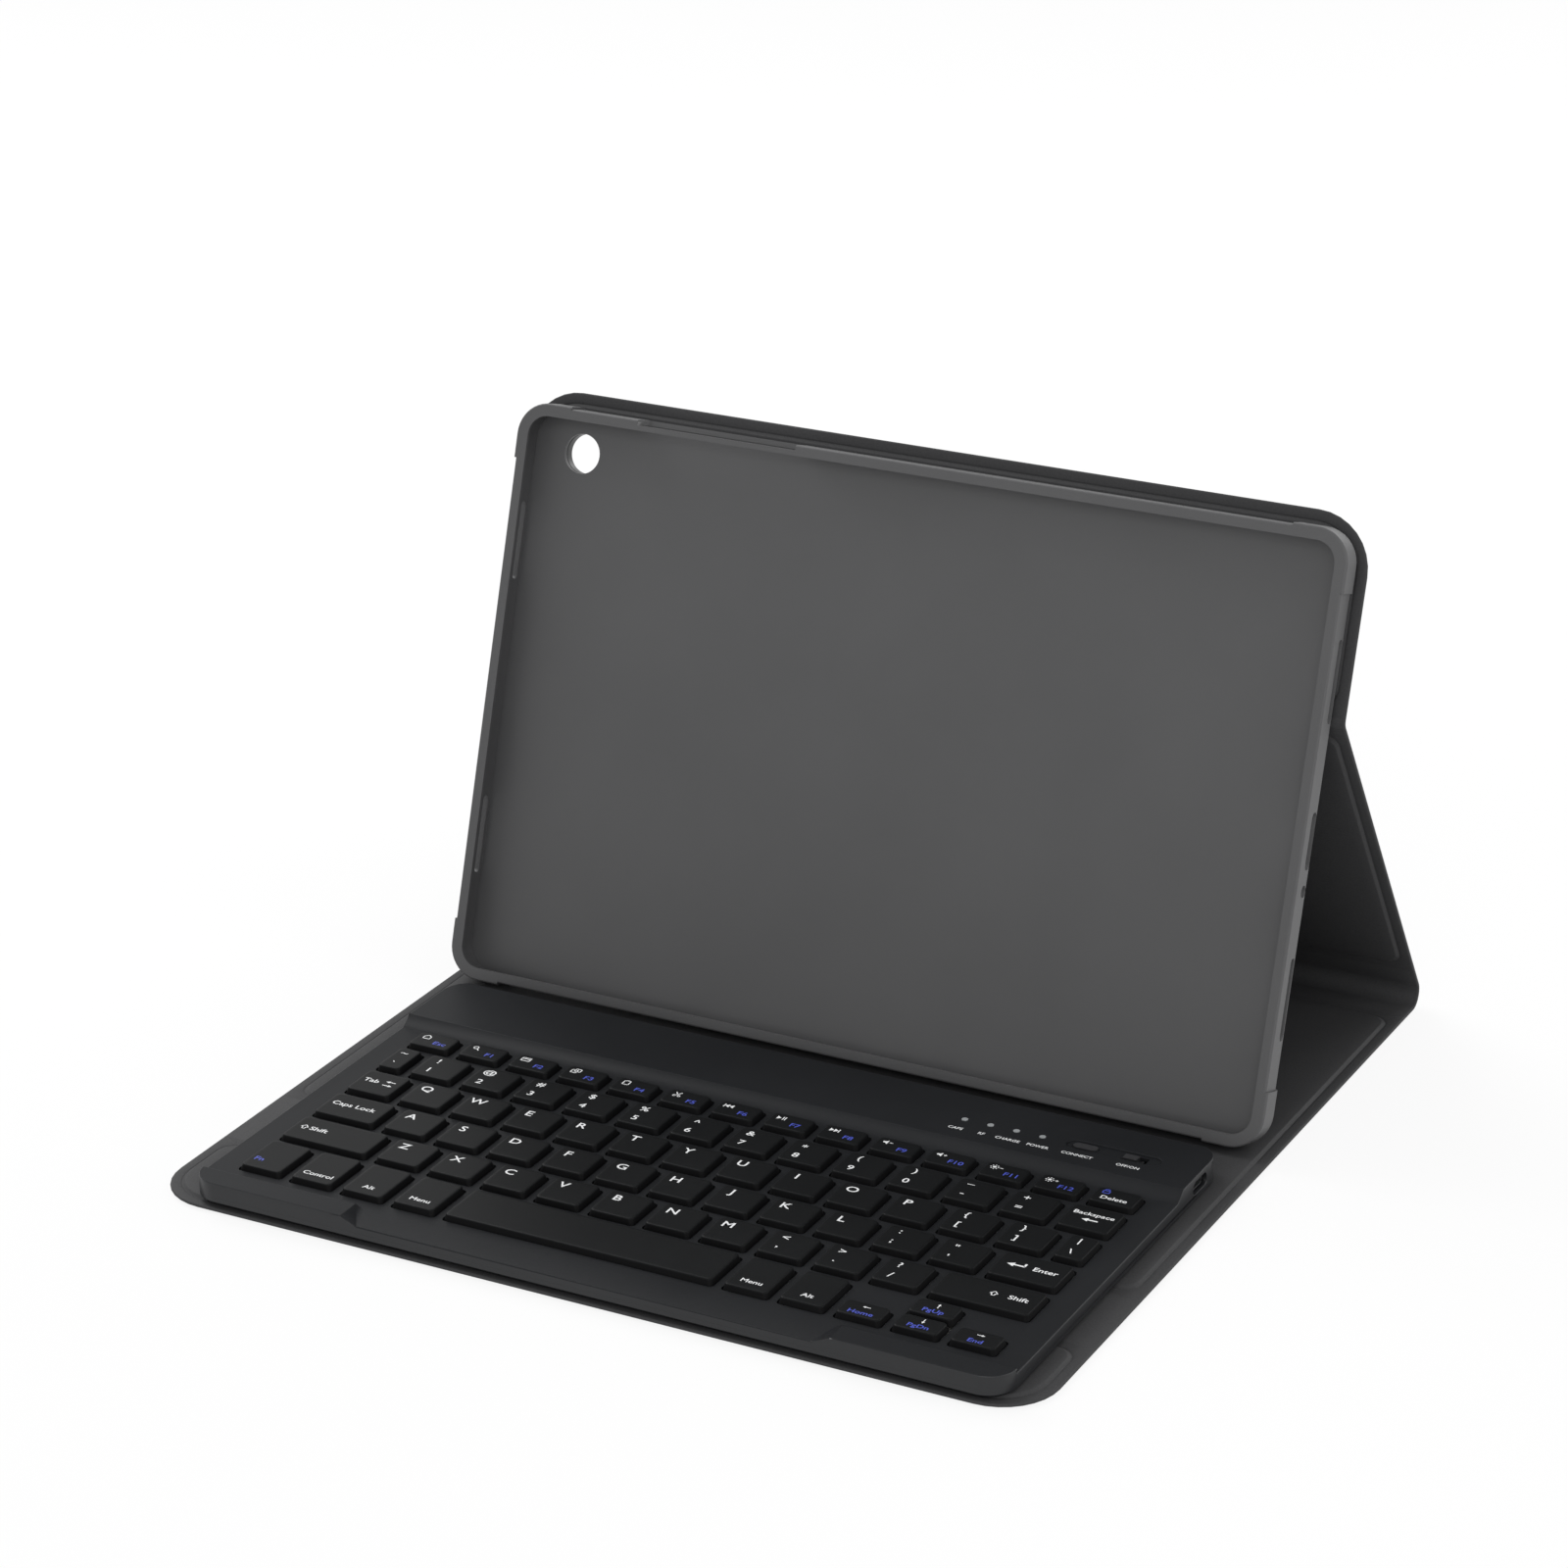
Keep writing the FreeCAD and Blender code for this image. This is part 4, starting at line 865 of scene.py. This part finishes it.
def printed(name, marks, body):
    """One mesh of a body's printing, with white in its first material slot and blue in its second."""
    points = []
    faces = []
    inks = []
    count = 0
    for (shape, outlines), height, x, y, z, ink in marks:
        points.append(shape * [height, height, 0] + [x, y, z])
        faces += [[i + count for i in outline] for outline in outlines]
        inks += [ink] * len(outlines)
        count += len(shape)
    piece = add_piece(name, np.concatenate(points), faces, white_ink)
    piece.data.materials.append(blue_ink)
    piece.data.polygons.foreach_set("material_index", inks)
    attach(piece, body)


for node in key_nodes:
    marks = []
    for owner, mark, (x0, x1, y0, y1) in keys:
        if owner == node:
            for shape, height, x, y, ink in key_marks(mark, x1 - x0, y1 - y0):
                at = keyboard_origin + [x0 + x, y0 + y, KEY_TOP + INK_LIFT]
                marks.append((shape, height, at[0], at[1], at[2], ink))
    if marks:
        printed(node + "_legends", marks, node)

# Rear bar: words under the lamps and controls, in narrower type than the keys have. Each stands below what
# it names.
BAR_TOP = 7.5
LABEL_Y = 115.9
LABEL = 1.3
LABEL_WIDTH = 0.85
labels = (("CAPS", 49.6), ("RF", 57.2), ("CHARGE", 64.8), ("POWER", 73.6), ("CONNECT", 84.9),
          ("OFF/ON", 99.4))
bar_marks = []
for label, x in labels:
    at = keyboard_origin + [x, LABEL_Y, BAR_TOP + INK_LIFT]
    points, outlines = word_shape(label)
    narrowed = points * [LABEL_WIDTH, 1, 1]
    bar_marks.append(((narrowed, outlines), LABEL / CAP_SHARE, at[0], at[1], at[2], PLAIN))
printed("bar_legends", bar_marks, "keyboard")

# Stage: a wide pale floor, a white surround, soft lamps, and the camera at the photograph's viewing angle.
# Floor and surround are bright where they are seen or mirrored, and light the part less than they show.
FLOOR_HALF = 3.0
FLOOR_GAP = 0.05
FLOOR_GLOW = 0.88
FILL_LIGHT = 0.45
WHITE = (1.0, 1.0, 1.0, 1.0)
LAMP_AIM = (0.0, 0.0, 0.05)
LENS = 106.75
SENSOR = 36.0
CAMERA_PLACE = (0.52299, -1.02615, 0.56091)
CAMERA_PITCH = 22.107
CAMERA_AZIMUTH = 27.363
scene = bpy.context.scene
scene.view_settings.view_transform = "Standard"
# A pale matte floor that looks white to the camera and in reflections, with faint soft shadows.
pale_floor = blank_material("pale matte floor")
ray = add(pale_floor, "ShaderNodeLightPath").outputs
seen = add(pale_floor, "ShaderNodeMath", {"operation": "MAXIMUM"},
           (ray["Is Camera Ray"], ray["Is Glossy Ray"]))
share = add(pale_floor, "ShaderNodeMath", {"operation": "MULTIPLY"}, (seen.outputs["Value"], FLOOR_GLOW))
matte = add(pale_floor, "ShaderNodeBsdfDiffuse", Color=linear("#f0f0f0"))
glow = add(pale_floor, "ShaderNodeEmission", Color=WHITE, Strength=1.0)
lit = add(pale_floor, "ShaderNodeMixShader", None,
          (share.outputs["Value"], matte.outputs["BSDF"], glow.outputs["Emission"]))
add(pale_floor, "ShaderNodeOutputMaterial", Surface=lit.outputs["Shader"])
corners = np.array([[-1, -1, 0], [1, -1, 0], [1, 1, 0], [-1, 1, 0]]) * FLOOR_HALF / MM - [0, 0, FLOOR_GAP]
floor = add_piece("studio_floor", corners, [[0, 1, 2, 3]], pale_floor)

world = bpy.data.worlds.new("white surround")
scene.world = world
world.use_nodes = True
world.node_tree.nodes.clear()
ray = add(world, "ShaderNodeLightPath").outputs
mirrored = add(world, "ShaderNodeMath", {"operation": "MAXIMUM"},
               (ray["Is Glossy Ray"], ray["Is Transmission Ray"]))
seen = add(world, "ShaderNodeMath", {"operation": "MAXIMUM"},
           (ray["Is Camera Ray"], mirrored.outputs["Value"]))
fill = add(world, "ShaderNodeBackground", Color=WHITE, Strength=FILL_LIGHT)
white = add(world, "ShaderNodeBackground", Color=WHITE, Strength=1.0)
surround = add(world, "ShaderNodeMixShader", None,
               (seen.outputs["Value"], fill.outputs["Background"], white.outputs["Background"]))
add(world, "ShaderNodeOutputWorld", Surface=surround.outputs["Shader"])


def soft_lamp(name, place, size, power):
    """Square area lamp aimed at the part: tipped by its way's angle from straight down, turned to its way's
    heading."""
    lamp = bpy.data.lights.new(name, "AREA")
    lamp.size = size
    lamp.energy = power
    holder = bpy.data.objects.new(name, lamp)
    holder.location = place
    way = np.array(LAMP_AIM) - np.array(place)
    tip = math.acos(-way[2] / np.linalg.norm(way))
    heading = math.atan2(way[1], way[0]) - math.pi / 2
    holder.rotation_euler = (tip, 0.0, heading)
    scene.collection.objects.link(holder)


soft_lamp("lamp_over_left", (-1.1, 0.35, 1.2), 1.2, 17.0)
soft_lamp("lamp_right", (1.3, 0.1, 0.7), 0.9, 5.0)
soft_lamp("lamp_front", (0.5, -1.6, 0.9), 1.2, 11.0)
soft_lamp("lamp_behind", (0.3, 1.3, 0.8), 1.0, 6.0)

camera = bpy.data.cameras.new("photo camera")
camera.lens = LENS
camera.sensor_width = SENSOR
viewer = bpy.data.objects.new("photo camera", camera)
viewer.location = CAMERA_PLACE
viewer.rotation_euler = (math.radians(90 - CAMERA_PITCH), 0.0, math.radians(CAMERA_AZIMUTH))
scene.collection.objects.link(viewer)
scene.camera = viewer
